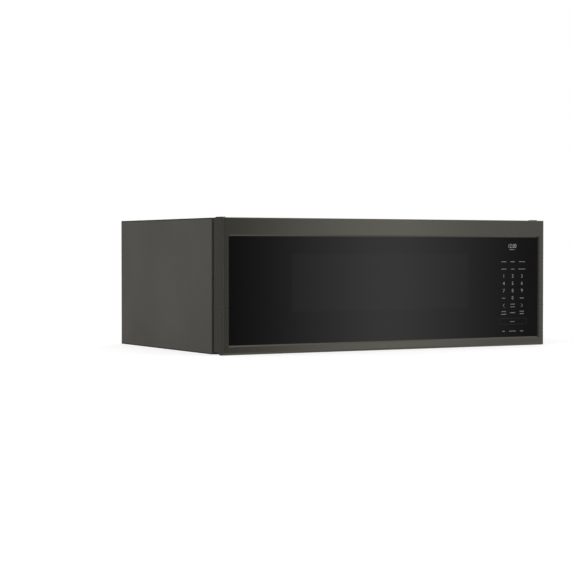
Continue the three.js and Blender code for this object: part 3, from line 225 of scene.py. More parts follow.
def brushedBlackStainless():
    # stainless sheet brushed level and oxidised dark: warm grey, with fine level lines that stretch a highlight
    look = {"dark": "#74726a", "light": "#7b7970", "lineMm": 0.6, "lineLengthMm": 140, "cloudMm": 160}
    material, tree, shader, place = startMaterial(
        "brushed_black_stainless", Metallic=1.0, Anisotropic=0.55, Anisotropic_Rotation=0.25)
    stretch = add(tree, "ShaderNodeMapping", {"Vector": place, "Scale": (
        perMetre(look["lineLengthMm"]), perMetre(look["lineMm"]), perMetre(look["lineMm"]))})
    lines = add(tree, "ShaderNodeTexNoise", {"Vector": stretch.outputs[0], "Scale": 1.0, "Detail": 5.0,
                                             "Roughness": 0.65})
    clouds = add(tree, "ShaderNodeTexNoise", {"Vector": place, "Scale": perMetre(look["cloudMm"]), "Detail": 2.0})
    both = add(tree, "ShaderNodeMath", {0: lines.outputs["Fac"], 1: clouds.outputs["Fac"]}, operation="ADD")
    half = add(tree, "ShaderNodeMath", {0: both.outputs[0], 1: 0.5}, operation="MULTIPLY")
    tone = add(tree, "ShaderNodeValToRGB", {"Fac": half.outputs[0]},
               stops=[(0.3, look["dark"]), (0.7, look["light"])])
    rough = add(tree, "ShaderNodeMapRange", {"Value": lines.outputs["Fac"], "To Min": 0.245, "To Max": 0.295})
    bump = add(tree, "ShaderNodeBump", {"Height": lines.outputs["Fac"], "Strength": 0.03, "Distance": 0.0001})
    tangent = add(tree, "ShaderNodeTangent", direction_type="RADIAL", axis="Z")
    coat(tree, shader, tone.outputs[0], rough, bump)
    tree.links.new(tangent.outputs[0], shader.inputs["Tangent"])
    return material


def coatedCaseSteel(name, folds=None):
    # steel sheet with a baked dark grey coat: satin, with the faint orange peel of sprayed paint,
    # and painted shade: a thin dark line along each fold, standing in for the shade on its rounded edge; folds are
    # two heights in metres
    look = {"dark": "#524f49", "light": "#59564f", "foldShade": "#232220", "peelMm": 1.6, "cloudMm": 140, "foldShadeMm": 2.2}
    material, tree, shader, place = startMaterial(name, Metallic=0.0, IOR=1.5)
    peel = add(tree, "ShaderNodeTexNoise", {"Vector": place, "Scale": perMetre(look["peelMm"]), "Detail": 2.0})
    clouds = add(tree, "ShaderNodeTexNoise", {"Vector": place, "Scale": perMetre(look["cloudMm"]), "Detail": 3.0})
    tone = add(tree, "ShaderNodeValToRGB", {"Fac": clouds.outputs["Fac"]},
               stops=[(0.3, look["dark"]), (0.7, look["light"])])
    rough = add(tree, "ShaderNodeMapRange", {"Value": peel.outputs["Fac"], "To Min": 0.42, "To Max": 0.54})
    bump = add(tree, "ShaderNodeBump", {"Height": peel.outputs["Fac"], "Strength": 0.25, "Distance": 0.0001})
    colour = tone.outputs[0]
    # painted shade: the coat turns dark within about two millimetres of the low and the high height
    if folds:
        low, high = folds
        reach = look["foldShadeMm"] * 0.001
        axes = add(tree, "ShaderNodeSeparateXYZ", {"Vector": place})
        offset = add(tree, "ShaderNodeMath", {0: axes.outputs["Z"], 1: (low + high) / 2}, operation="SUBTRACT")
        away = add(tree, "ShaderNodeMath", {0: offset.outputs[0]}, operation="ABSOLUTE")
        edge = (high - low) / 2
        line = add(tree, "ShaderNodeMapRange", {"Value": away.outputs[0], "From Min": edge - reach * 1.2,
                                                "From Max": edge - reach * 0.8})
        colour = add(tree, "ShaderNodeMix", {"Factor": line.outputs[0], 6: colour, 7: hexColour(look["foldShade"])},
                     data_type="RGBA").outputs[2]
    coat(tree, shader, colour, rough, bump)
    return material


def blackPowderCoat():
    # powder coat on folded steel: near black, with a pebbled skin
    look = {"dark": "#181716", "light": "#232220", "pebbleMm": 0.9, "cloudMm": 60}
    material, tree, shader, place = startMaterial("black_powder_coat", IOR=1.5)
    pebbles = add(tree, "ShaderNodeTexVoronoi", {"Vector": place, "Scale": perMetre(look["pebbleMm"])},
                  feature="SMOOTH_F1")
    clouds = add(tree, "ShaderNodeTexNoise", {"Vector": place, "Scale": perMetre(look["cloudMm"]), "Detail": 3.0})
    tone = add(tree, "ShaderNodeValToRGB", {"Fac": clouds.outputs["Fac"]},
               stops=[(0.3, look["dark"]), (0.7, look["light"])])
    rough = add(tree, "ShaderNodeMapRange", {"Value": clouds.outputs["Fac"], "To Min": 0.46, "To Max": 0.6})
    bump = add(tree, "ShaderNodeBump", {"Height": pebbles.outputs["Distance"], "Strength": 0.3, "Distance": 0.0001})
    coat(tree, shader, tone.outputs[0], rough, bump)
    return material


def galvanisedSteel(name, dark, light, spangleMm):
    # hot-dip zinc on sheet steel: pale crystals of slightly different grey
    look = {"grainMm": 2.5, "cloudMm": 110}
    material, tree, shader, place = startMaterial(name, Metallic=1.0)
    crystals = add(tree, "ShaderNodeTexVoronoi", {"Vector": place, "Scale": perMetre(spangleMm)}, feature="F1")
    level = add(tree, "ShaderNodeSeparateColor", {"Color": crystals.outputs["Color"]})
    fine = add(tree, "ShaderNodeTexNoise", {"Vector": place, "Scale": perMetre(look["grainMm"]), "Detail": 4.0})
    clouds = add(tree, "ShaderNodeTexNoise", {"Vector": place, "Scale": perMetre(look["cloudMm"]), "Detail": 3.0})
    half = add(tree, "ShaderNodeMath", {0: clouds.outputs["Fac"], 1: 0.5}, operation="MULTIPLY")
    mixed = add(tree, "ShaderNodeMath", {0: level.outputs[0], 1: 0.5, 2: half.outputs[0]}, operation="MULTIPLY_ADD")
    tone = add(tree, "ShaderNodeValToRGB", {"Fac": mixed.outputs[0]}, stops=[(0.2, dark), (0.8, light)])
    rough = add(tree, "ShaderNodeMapRange", {"Value": level.outputs[1], "To Min": 0.34, "To Max": 0.46})
    bump = add(tree, "ShaderNodeBump", {"Height": fine.outputs["Fac"], "Strength": 0.15, "Distance": 0.0001})
    coat(tree, shader, tone.outputs[0], rough, bump)
    return material


def aluminium():
    # rolled aluminium: pale, with soft drawn lines and small scuffs
    look = {"dark": "#9fa1a3", "light": "#c2c4c6", "lineMm": 0.8, "lineLengthMm": 40}
    material, tree, shader, place = startMaterial("rolled_aluminium", Metallic=1.0)
    stretch = add(tree, "ShaderNodeMapping", {"Vector": place, "Scale": (
        perMetre(look["lineLengthMm"]), perMetre(look["lineMm"]), perMetre(look["lineMm"]))})
    lines = add(tree, "ShaderNodeTexNoise", {"Vector": stretch.outputs[0], "Scale": 1.0, "Detail": 3.0})
    tone = add(tree, "ShaderNodeValToRGB", {"Fac": lines.outputs["Fac"]},
               stops=[(0.3, look["dark"]), (0.7, look["light"])])
    rough = add(tree, "ShaderNodeMapRange", {"Value": lines.outputs["Fac"], "To Min": 0.3, "To Max": 0.46})
    bump = add(tree, "ShaderNodeBump", {"Height": lines.outputs["Fac"], "Strength": 0.1, "Distance": 0.0001})
    coat(tree, shader, tone.outputs[0], rough, bump)
    return material


def perforatedSteel():
    # punched steel screen, enamelled dark grey: round holes in a regular grid, drawn at twice their real pitch
    look = {"holeMm": 2.6, "pitchMm": 4.2}
    material, tree, shader, place = startMaterial("perforated_screen_steel", Metallic=0.4, Roughness=0.5)
    axes = add(tree, "ShaderNodeSeparateXYZ", {"Vector": place})
    flat = add(tree, "ShaderNodeCombineXYZ", {"X": axes.outputs["X"], "Y": axes.outputs["Z"]})
    grid = add(tree, "ShaderNodeTexVoronoi", {"Vector": flat.outputs[0], "Scale": perMetre(look["pitchMm"]),
                                              "Randomness": 0.0}, voronoi_dimensions="2D")
    edge = look["holeMm"] / look["pitchMm"] / 2
    tone = add(tree, "ShaderNodeValToRGB", {"Fac": grid.outputs["Distance"]},
               stops=[(edge - 0.02, "#050505"), (edge + 0.02, "#3a3b3c")])
    bump = add(tree, "ShaderNodeBump", {"Height": tone.outputs[0], "Strength": 0.6, "Distance": 0.0003})
    tree.links.new(tone.outputs[0], shader.inputs["Base Color"])
    tree.links.new(bump.outputs[0], shader.inputs["Normal"])
    return material


def blackGlass():
    # tinted float glass over a black print: deep and glossy, with the punched screen just showing in the window,
    # whose middle, half size along X and Z, and soft edge are in metres
    look = {"print": "#050506", "window": "#141416", "hole": "#0b0b0c", "pitchMm": 3.2, "smearMm": 120,
            "middle": (-0.0217, 0.1355), "halfSize": (0.2072, 0.0555), "soft": 0.002}
    material, tree, shader, place = startMaterial("black_door_glass", IOR=1.5)
    axes = add(tree, "ShaderNodeSeparateXYZ", {"Vector": place})
    inside = []
    for axis, middle, half in zip("XZ", look["middle"], look["halfSize"]):
        offset = add(tree, "ShaderNodeMath", {0: axes.outputs[axis], 1: middle}, operation="SUBTRACT")
        away = add(tree, "ShaderNodeMath", {0: offset.outputs[0]}, operation="ABSOLUTE")
        inside.append(add(tree, "ShaderNodeMapRange", {"Value": away.outputs[0], "From Min": half - look["soft"],
                                                       "From Max": half + look["soft"], "To Min": 1.0,
                                                       "To Max": 0.0}))
    window = add(tree, "ShaderNodeMath", {0: inside[0].outputs[0], 1: inside[1].outputs[0]}, operation="MULTIPLY")
    flat = add(tree, "ShaderNodeCombineXYZ", {"X": axes.outputs["X"], "Y": axes.outputs["Z"]})
    grid = add(tree, "ShaderNodeTexVoronoi", {"Vector": flat.outputs[0], "Scale": perMetre(look["pitchMm"]),
                                              "Randomness": 0.0}, voronoi_dimensions="2D")
    screen = add(tree, "ShaderNodeValToRGB", {"Fac": grid.outputs["Distance"]},
                 stops=[(0.3, look["hole"]), (0.4, look["window"])])
    tone = add(tree, "ShaderNodeMix", {"Factor": window.outputs[0], 6: hexColour(look["print"]),
                                       7: screen.outputs[0]}, data_type="RGBA")
    smear = add(tree, "ShaderNodeTexNoise", {"Vector": place, "Scale": perMetre(look["smearMm"]), "Detail": 4.0})
    rough = add(tree, "ShaderNodeMapRange", {"Value": smear.outputs["Fac"], "To Min": 0.03, "To Max": 0.09})
    coat(tree, shader, tone.outputs[2], rough)
    return material


def clearGlass():
    # pressed glass: clear, faintly green, with a soft waviness from the mould
    look = {"tint": "#d8e6e2", "waveMm": 22}
    material, tree, shader, place = startMaterial("pressed_clear_glass", IOR=1.5, Transmission_Weight=1.0,
                                                  Base_Color=hexColour(look["tint"]))
    wave = add(tree, "ShaderNodeTexNoise", {"Vector": place, "Scale": perMetre(look["waveMm"]), "Detail": 2.0})
    rough = add(tree, "ShaderNodeMapRange", {"Value": wave.outputs["Fac"], "To Min": 0.02, "To Max": 0.1})
    bump = add(tree, "ShaderNodeBump", {"Height": wave.outputs["Fac"], "Strength": 0.1, "Distance": 0.001})
    tree.links.new(rough.outputs[0], shader.inputs["Roughness"])
    tree.links.new(bump.outputs[0], shader.inputs["Normal"])
    return material


def ovenEnamel():
    # fired enamel inside the oven: warm grey, peppered with small dark flecks
    look = {"base": "#c8c5bd", "shade": "#bab7af", "fleck": "#5d5a54", "fleckMm": 3.2, "cloudMm": 90}
    material, tree, shader, place = startMaterial("fired_oven_enamel", IOR=1.5, Coat_Weight=0.4)
    spots = add(tree, "ShaderNodeTexVoronoi", {"Vector": place, "Scale": perMetre(look["fleckMm"])})
    clouds = add(tree, "ShaderNodeTexNoise", {"Vector": place, "Scale": perMetre(look["cloudMm"]), "Detail": 3.0})
    field = add(tree, "ShaderNodeValToRGB", {"Fac": clouds.outputs["Fac"]},
                stops=[(0.35, look["shade"]), (0.65, look["base"])])
    mask = add(tree, "ShaderNodeMapRange", {"Value": spots.outputs["Distance"], "From Min": 0.1, "From Max": 0.16,
                                            "To Min": 0.8, "To Max": 0.0})
    tone = add(tree, "ShaderNodeMix", {"Factor": mask.outputs[0], 6: field.outputs[0],
                                       7: hexColour(look["fleck"])}, data_type="RGBA")
    rough = add(tree, "ShaderNodeMapRange", {"Value": clouds.outputs["Fac"], "To Min": 0.26, "To Max": 0.4})
    bump = add(tree, "ShaderNodeBump", {"Height": clouds.outputs["Fac"], "Strength": 0.1, "Distance": 0.0005})
    coat(tree, shader, tone.outputs[2], rough, bump)
    return material


def micaSheet():
    # pressed mica: matt silvery beige in thin overlapping flakes
    look = {"dark": "#8f866f", "light": "#b9ae94", "flakeMm": 5}
    material, tree, shader, place = startMaterial("pressed_mica_sheet", IOR=1.58, Metallic=0.15)
    flakes = add(tree, "ShaderNodeTexVoronoi", {"Vector": place, "Scale": perMetre(look["flakeMm"])})
    level = add(tree, "ShaderNodeSeparateColor", {"Color": flakes.outputs["Color"]})
    tone = add(tree, "ShaderNodeValToRGB", {"Fac": level.outputs[1]},
               stops=[(0.1, look["dark"]), (0.9, look["light"])])
    rough = add(tree, "ShaderNodeMapRange", {"Value": level.outputs[0], "To Min": 0.5, "To Max": 0.75})
    bump = add(tree, "ShaderNodeBump", {"Height": level.outputs[1], "Strength": 0.3, "Distance": 0.0001})
    coat(tree, shader, tone.outputs[0], rough, bump)
    return material


def carbonGranules():
    # activated carbon: matt black grains, with painted shade making the gaps between them darker
    look = {"grain": "#1a1a1a", "gap": "#060606", "grainMm": 2.4}
    material, tree, shader, place = startMaterial("activated_carbon_granules")
    grains = add(tree, "ShaderNodeTexVoronoi", {"Vector": place, "Scale": perMetre(look["grainMm"])})
    # painted shade: darker between the grains
    tone = add(tree, "ShaderNodeValToRGB", {"Fac": grains.outputs["Distance"]},
               stops=[(0.25, look["grain"]), (0.6, look["gap"])])
    rough = add(tree, "ShaderNodeMapRange", {"Value": grains.outputs["Distance"], "To Min": 0.75, "To Max": 1.0})
    bump = add(tree, "ShaderNodeBump", {"Height": grains.outputs["Distance"], "Strength": 0.8, "Distance": 0.001},
               invert=True)
    coat(tree, shader, tone.outputs[0], rough, bump)
    return material


def mouldedPlastic(name, dark, light, roughMin, sparkMm=0.7):
    # injection-moulded plastic: even colour with the fine spark-eroded texture of its mould
    look = {"cloudMm": 45, "roughSpread": 0.12}
    material, tree, shader, place = startMaterial(name, IOR=1.53)
    spark = add(tree, "ShaderNodeTexNoise", {"Vector": place, "Scale": perMetre(sparkMm), "Detail": 2.0})
    clouds = add(tree, "ShaderNodeTexNoise", {"Vector": place, "Scale": perMetre(look["cloudMm"]), "Detail": 2.0})
    tone = add(tree, "ShaderNodeValToRGB", {"Fac": clouds.outputs["Fac"]}, stops=[(0.3, dark), (0.7, light)])
    rough = add(tree, "ShaderNodeMapRange", {"Value": spark.outputs["Fac"], "To Min": roughMin,
                                             "To Max": roughMin + look["roughSpread"]})
    bump = add(tree, "ShaderNodeBump", {"Height": spark.outputs["Fac"], "Strength": 0.25, "Distance": 0.0001})
    coat(tree, shader, tone.outputs[0], rough, bump)
    return material


def frostedLens():
    # frosted polycarbonate over the lamps: milky, with a fine grid of prisms
    look = {"dark": "#c9cbc8", "light": "#e3e4e0", "prismMm": 4}
    material, tree, shader, place = startMaterial("frosted_polycarbonate", IOR=1.58, Transmission_Weight=0.25)
    prisms = add(tree, "ShaderNodeTexVoronoi", {"Vector": place, "Scale": perMetre(look["prismMm"]),
                                                "Randomness": 0.0}, distance="CHEBYCHEV")
    tone = add(tree, "ShaderNodeValToRGB", {"Fac": prisms.outputs["Distance"]},
               stops=[(0.2, look["light"]), (0.5, look["dark"])])
    rough = add(tree, "ShaderNodeMapRange", {"Value": prisms.outputs["Distance"], "To Min": 0.3, "To Max": 0.5})
    bump = add(tree, "ShaderNodeBump", {"Height": prisms.outputs["Distance"], "Strength": 0.5, "Distance": 0.0006})
    coat(tree, shader, tone.outputs[0], rough, bump)
    return material


def circuitBoard():
    # green solder mask with copper tracks under it
    look = {"mask": "#1b4a2b", "track": "#2f6b40", "trackMm": 5}
    material, tree, shader, place = startMaterial("green_circuit_board", IOR=1.55)
    tracks = add(tree, "ShaderNodeTexVoronoi", {"Vector": place, "Scale": perMetre(look["trackMm"]),
                                                "Randomness": 0.6}, distance="MANHATTAN", feature="F1")
    tone = add(tree, "ShaderNodeValToRGB", {"Fac": tracks.outputs["Distance"]},
               stops=[(0.3, look["mask"]), (0.36, look["track"])])
    rough = add(tree, "ShaderNodeMapRange", {"Value": tracks.outputs["Distance"], "To Min": 0.3, "To Max": 0.5})
    bump = add(tree, "ShaderNodeBump", {"Height": tone.outputs[0], "Strength": 0.3, "Distance": 0.0001})
    coat(tree, shader, tone.outputs[0], rough, bump)
    return material


def transformerWinding(low, high):
    # laminated core in thin upright layers, and varnished copper wire where the coils stand out at its ends, with
    # painted shade darkening the grooves between the turns
    look = {"core": "#3c3e40", "joint": "#232425", "wire": "#8a4a22", "wireGapShade": "#5c2d12",
            "sheetMm": 1.6, "wireMm": 1.4, "coilMm": 14.8}
    material, tree, shader, place = startMaterial("laminated_core_and_copper", Metallic=0.7)
    axes = add(tree, "ShaderNodeSeparateXYZ", {"Vector": place})
    sheets = add(tree, "ShaderNodeTexWave", {"Vector": place, "Scale": perMetre(look["sheetMm"]) / 20},
                 bands_direction="Y")
    turns = add(tree, "ShaderNodeTexWave", {"Vector": place, "Scale": perMetre(look["wireMm"]) / 20},
                bands_direction="Z")
    core = add(tree, "ShaderNodeValToRGB", {"Fac": sheets.outputs["Fac"]},
               stops=[(0.15, look["joint"]), (0.4, look["core"])])
    # painted shade: the wire is darker in the grooves between its turns
    wire = add(tree, "ShaderNodeValToRGB", {"Fac": turns.outputs["Fac"]},
               stops=[(0.2, look["wireGapShade"]), (0.6, look["wire"])])
    offset = add(tree, "ShaderNodeMath", {0: axes.outputs["Y"], 1: (low + high) / 2}, operation="SUBTRACT")
    away = add(tree, "ShaderNodeMath", {0: offset.outputs[0]}, operation="ABSOLUTE")
    coil = add(tree, "ShaderNodeMath", {0: away.outputs[0], 1: (high - low) / 2 - look["coilMm"] * 0.001},
               operation="GREATER_THAN")
    tone = add(tree, "ShaderNodeMix", {"Factor": coil.outputs[0], 6: core.outputs[0], 7: wire.outputs[0]},
               data_type="RGBA")
    rough = add(tree, "ShaderNodeMapRange", {"Value": turns.outputs["Fac"], "To Min": 0.35, "To Max": 0.5})
    bump = add(tree, "ShaderNodeBump", {"Height": turns.outputs["Fac"], "Strength": 0.3, "Distance": 0.0004})
    coat(tree, shader, tone.outputs[2], rough, bump)
    return material


def legendInk(name, dark, light):
    # screen print on the glass: even and matt, with a slight unevenness
    look = {"cloudMm": 6}
    material, tree, shader, place = startMaterial(name, Roughness=0.4)
    cloud = add(tree, "ShaderNodeTexNoise", {"Vector": place, "Scale": perMetre(look["cloudMm"]), "Detail": 2.0})
    tone = add(tree, "ShaderNodeValToRGB", {"Fac": cloud.outputs["Fac"]}, stops=[(0.3, dark), (0.7, light)])
    tree.links.new(tone.outputs[0], shader.inputs["Base Color"])
    return material


def litDigits():
    # clock digits shining faintly through the glass
    look = {"dark": "#b8b7b5", "light": "#d4d2d0", "cloudMm": 3}
    material, tree, shader, place = startMaterial("clock_digits", Roughness=0.4, Emission_Strength=0.2)
    cloud = add(tree, "ShaderNodeTexNoise", {"Vector": place, "Scale": perMetre(look["cloudMm"]), "Detail": 1.0})
    tone = add(tree, "ShaderNodeValToRGB", {"Fac": cloud.outputs["Fac"]},
               stops=[(0.3, look["dark"]), (0.7, look["light"])])
    tree.links.new(tone.outputs[0], shader.inputs["Base Color"])
    tree.links.new(tone.outputs[0], shader.inputs["Emission Color"])
    return material


coilEnds = [corner.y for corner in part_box("transformer")]
finishes = {
    "stainless": brushedBlackStainless(),
    "caseSteel": coatedCaseSteel("coated_case_steel"),
    "sideSteel": coatedCaseSteel("coated_side_steel", (0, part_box("side_panel_left")[1].z)),
    "blackCoat": blackPowderCoat(),
    "galvanised": galvanisedSteel("galvanised_sheet_steel", "#b5b8ba", "#d0d3d5", 8),
    "zincPlate": galvanisedSteel("zinc_plated_steel", "#9b9d9c", "#b9bab8", 3),
    "aluminium": aluminium(),
    "screen": perforatedSteel(),
    "blackGlass": blackGlass(),
    "clearGlass": clearGlass(),
    "enamel": ovenEnamel(),
    "mica": micaSheet(),
    "carbon": carbonGranules(),
    "blackPlastic": mouldedPlastic("black_moulded_abs", "#131313", "#1c1c1c", 0.45),
    "whitePlastic": mouldedPlastic("white_moulded_acetal", "#d6d4cd", "#e2e0da", 0.4),
    "greyPlastic": mouldedPlastic("grey_moulded_abs", "#65676a", "#75777a", 0.45),
    "lens": frostedLens(),
    "board": circuitBoard(),
    "winding": transformerWinding(*coilEnds),
    "ink": legendInk("legend_ink", "#939393", "#acacac"),
    "faintInk": legendInk("faint_legend_ink", "#39393a", "#434344"),
    "borderInk": legendInk("black_border_ink", "#0b0b0c", "#111112"),
    "gasket": mouldedPlastic("silicone_gasket", "#242526", "#2c2d2e", 0.6, 1.2),
    "digits": litDigits(),
}
print("materials made:", len(finishes))

# which finish each CAD node takes, and how far its edges are rounded in mm
nodeFinishes = {
    "stainless": {"door_frame": 0.9},
    "caseSteel": {"base_pan": 0.3},
    "sideSteel": {"side_panel_left": 0.5, "side_panel_right": 0.5},
    "blackCoat": {"front_plate": 0.3, "hinge_bracket_top": 0.3, "hinge_bracket_bottom": 0.3},
    "blackPlastic": {"front_vent_grille": 0.3, "cord_gland": 0.4, "cooling_fan_housing": 0.5,
                     "door_back_cover": 0.4, "display_module": 0.3, "door_top_bumper": 0.4},
    "whitePlastic": {"turntable_coupler": 0.5, "roller_ring": 0.3, "roller_1": 0.5, "roller_2": 0.5,
                     "roller_3": 0.5, "latch_board": 0.4, "release_plunger": 0.5, "latch_hooks": 0.6},
    "greyPlastic": {"cooling_fan_impeller": 0.2, "interlock_switches": 0.4, "release_actuator": 0.5,
                    "blower_wheel_left": 0.2, "blower_wheel_right": 0.2},
    "galvanised": {"top_panel": 0.3, "back_panel": 0.3, "waveguide": 0.3, "lamp_holder_left": 0.3,
                   "lamp_holder_right": 0.3, "blower_housing": 0.3, "exhaust_outlet": 0.3, "door_panel": 0.2},
    "zincPlate": {"turntable_motor": 0.4, "blower_motor": 0.6, "blower_shaft": 0.3},
    "aluminium": {"magnetron": 0.2, "capacitor": 0.5, "grease_filter_left": 0.4, "grease_filter_right": 0.4,
                  "damper_flap": 0.2},
    "blackGlass": {"door_glass": 0.4},
    "clearGlass": {"glass_tray": 0.6, "inner_window": 0.3},
    "screen": {"window_screen": 0.1},
    "enamel": {"cavity_shell": 0.4},
    "mica": {"waveguide_cover": 0.15},
    "carbon": {"charcoal_filter": 0.8},
    "lens": {"lamp_lens_left": 0.3, "lamp_lens_right": 0.3, "cavity_lamp": 0.4},
    "board": {"power_board": 0.2, "noise_filter_board": 0.2, "control_board": 0.2},
    "winding": {"transformer": 0.6},
}
for finish, group in nodeFinishes.items():
    for name, rounding in group.items():
        node = nodes[name]
        for i in range(len(node.material_slots)):
            node.material_slots[i].material = finishes[finish]
        weld = node.modifiers.new("Weld", "WELD")
        weld.merge_threshold = weldDistance
        bevel = node.modifiers.new("Bevel", "BEVEL")
        bevel.width = rounding * 0.001
        bevel.segments = 2
        bevel.angle_limit = math.radians(40)
        bevel.use_clamp_overlap = True
        bevel.harden_normals = True
print("CAD nodes finished")


# touch keys and clock, a thin print on the glass

keys = {
    "face": -232.6, "depth": 0.04,  # the print's middle along Y, and its thickness
    "columns": (276.8, 299.6, 323.5),
    "digitHeight": 7.0, "digits": {"1": (0, 144.5), "2": (1, 144.5), "3": (2, 144.5),
                                   "4": (0, 129.2), "5": (1, 129.4), "6": (2, 129.4),
                                   "7": (0, 114.2), "8": (1, 114.2), "9": (2, 114.2), "0": (1, 99.2)},
    "dash": (1.5, 1.5), "dashPitch": 2.2, "cornerRound": 0.3,
    # column, height and number of dashes of each legend
    "legends": [(0, 174.5, 6), (1, 174.5, 5), (2, 174.5, 7), (0, 159.3, 6), (1, 159.3, 4), (2, 159.3, 8),
                (0, 98.9, 4), (2, 98.9, 5), (1, 86.4, 5), (1, 80.8, 5), (0, 71.2, 5), (0, 65.6, 6),
                (1, 68.5, 6), (2, 71.2, 5), (2, 66.2, 5), (1, 50.2, 5), (0, 30.2, 3), (1, 30.2, 8), (2, 30.2, 4)],
    "underClock": (297.8, 199.8, 6),  # across, up and number of dashes
    "startBox": (266.0, 336.0, 44.5, 57.0), "boxLine": 0.35, "boxRound": 1.2,
    # height, size, width of the stroke, share of the size between the strokes' middles, and angle
    "arrow": (83.7, 5.5, 0.8, 0.32, 40),
    # across, up and tall; then how narrow and how much thinner than the built-in face
    "clock": (298.2, 206.9, 8.2), "clockShape": (0.84, 0.2),
}


def printText(name, mark, x, z, height, material, narrow=1.0, thin=0.0):
    selectOnly()
    bpy.ops.object.text_add(rotation=(math.pi / 2, 0, 0), location=(x * 0.001, keys["face"] * 0.001, z * 0.001))
    text = bpy.context.object
    text.data.body = mark
    text.data.size = height * 0.001 / 0.7  # capitals of the built-in face are 0.7 of its size
    text.data.align_x = "CENTER"
    text.data.align_y = "CENTER"
    text.data.extrude = keys["depth"] * 0.0005
    text.data.offset = -thin * 0.001
    text.scale.x = narrow
    bpy.ops.object.convert(target="MESH")
    bpy.ops.object.transform_apply(location=True, rotation=True, scale=True)
    return dress(nameIt(name), material, "door")


def printDashes():
    # each legend is a plain row of dashes
    width, height = keys["dash"]
    dash = addBlock("dash", (-width / 2, -keys["depth"] / 2, -height / 2), (width / 2, keys["depth"] / 2, height / 2))
    bevelEdges(dash, keys["cornerRound"], 2, runsAlongY)
    rows = [(keys["columns"][c], z, n) for c, z, n in keys["legends"]] + [keys["underClock"]]
    made = []
    for i, (x, z, count) in enumerate(rows):
        start = x - (count - 1) * keys["dashPitch"] / 2
        row = copyTo(dash, f"dashes_{i}", (start, keys["face"], z))
        applyModifier(row, "ARRAY", count=count, use_relative_offset=False, use_constant_offset=True,
                      constant_offset_displace=(keys["dashPitch"] * 0.001, 0, 0))
        made.append(row)
    bpy.data.objects.remove(dash)
    dress(joinAll("key_dashes", made), finishes["ink"], "door")


def printStartBox():
    x0, x1, z0, z1 = keys["startBox"]
    y0, y1 = keys["face"] - keys["depth"] / 2, keys["face"] + keys["depth"] / 2
    outline = addBlock("start_key_outline", (x0, y0, z0), (x1, y1, z1))
    bevelEdges(outline, keys["boxRound"], 4, runsAlongY)
    openUp(outline, keys["boxLine"])
    dress(outline, finishes["faintInk"], "door")


def printArrows():
    z, size, line, spread, angle = keys["arrow"]
    for name, column, side in (("key_arrow_left", 0, -1), ("key_arrow_right", 2, 1)):
        x = keys["columns"][column]
        strokes = []
        for way in (-1, 1):
            low = (-size / 2, -keys["depth"] / 2, -line / 2)
            stroke = addBlock("stroke", low, [-v for v in low])
            bevelEdges(stroke, keys["cornerRound"], 2)
            strokes.append(copyTo(stroke, f"stroke_{way}", (x, keys["face"], z + way * size * spread),
                                  (0, side * way * math.radians(angle), 0)))
            bpy.data.objects.remove(stroke)
        dress(joinAll(name, strokes), finishes["ink"], "door")


for mark, (column, z) in keys["digits"].items():
    printText(f"key_{mark}", mark, keys["columns"][column], z, keys["digitHeight"], finishes["ink"])
printDashes()
printStartBox()
printArrows()
printText("clock_digits", "12:00", *keys["clock"], finishes["digits"], *keys["clockShape"])
print("keys printed")


# screws, each a copy of one pan head with a crossed slot

screw = {"radius": 3.6, "height": 1.2, "round": 0.5, "slot": (4.2, 0.9), "slotDepth": 0.7,
         # on the front plate, and on the feet of the two hinge brackets
         "frontPlaces": [(366, -191.45, 22), (366, -191.45, 130), (366, -191.45, 240), (-366, -191.45, 130),
                         (-150, -191.45, 22), (150, -191.45, 22), (-368, -192.65, 251), (-356, -192.65, 251),
                         (-368, -192.65, 11), (-356, -192.65, 11)]}


def modelScrew():
    head = addDisc("screw", screw["radius"], screw["height"], (0, 0, screw["height"] / 2))
    top = screw["height"] * 0.001
    bevelEdges(head, screw["round"], 3, lambda edge: min(v.co.z for v in edge.verts) > top - 1e-6)
    length, width = screw["slot"]
    for turn in (0, math.pi / 2):
        cutter = addBlock("cutter", (-length / 2, -width / 2, screw["height"] - screw["slotDepth"]),
                          (length / 2, width / 2, screw["height"] + 1))
        cutAway(head, copyTo(cutter, "slot_cutter", (0, 0, 0), (0, 0, turn)))
        bpy.data.objects.remove(cutter)
    return head


screwHead = modelScrew()
for i, place in enumerate(screw["frontPlaces"]):
    dress(copyTo(screwHead, f"screw_front_{i + 1}", place, (math.pi / 2, 0, 0)), finishes["zincPlate"], "case")
print("screws placed")


# top, back and base with pressed dimples, so their screws lie flush

sunk = {
    "dimple": 5.2, "dimpleDepth": 0.7, "screwHeight": 0.62, "beadRound": 24, "beadEnd": 14, "beadDepth": 0.95,
    # each panel has its outer face, its screws' places on it, and its stiffening beads' middle, length and turn
    "top_panel": {"name": "top_panel_pressed", "finish": "galvanised", "face": 260.4, "places": [
        (-366, -150), (366, -150), (-366, 40), (366, 40), (-366, 205), (366, 222), (-190, -176), (0, -176),
        (190, -176), (-190, 222), (190, 222), (-100, 142), (100, 142)],
        "beads": [(x, -30, 236, (math.pi / 2, 0, 0)) for x in (-235, -80, 80, 235)]},
    "back_panel": {"name": "back_panel_pressed", "finish": "galvanised", "face": 234.95, "places": [
        (-362, 60), (362, 60), (-362, 150), (362, 150), (-362, 240), (362, 240), (-170, 246), (170, 246),
        (-125, 14), (125, 14)],
        "beads": [(0, z, 610, (0, math.pi / 2, 0)) for z in (70, 125, 180)]},
    "base_pan": {"name": "base_pan_pressed", "finish": "caseSteel", "face": 0, "places": [
        (-364, -170), (364, -170), (-364, 70), (364, 70), (-364, 218), (364, 218), (0, -172), (0, 218),
        (0, 30), (-180, -100), (180, -100), (-180, 160), (180, 160)], "beads": []},
}


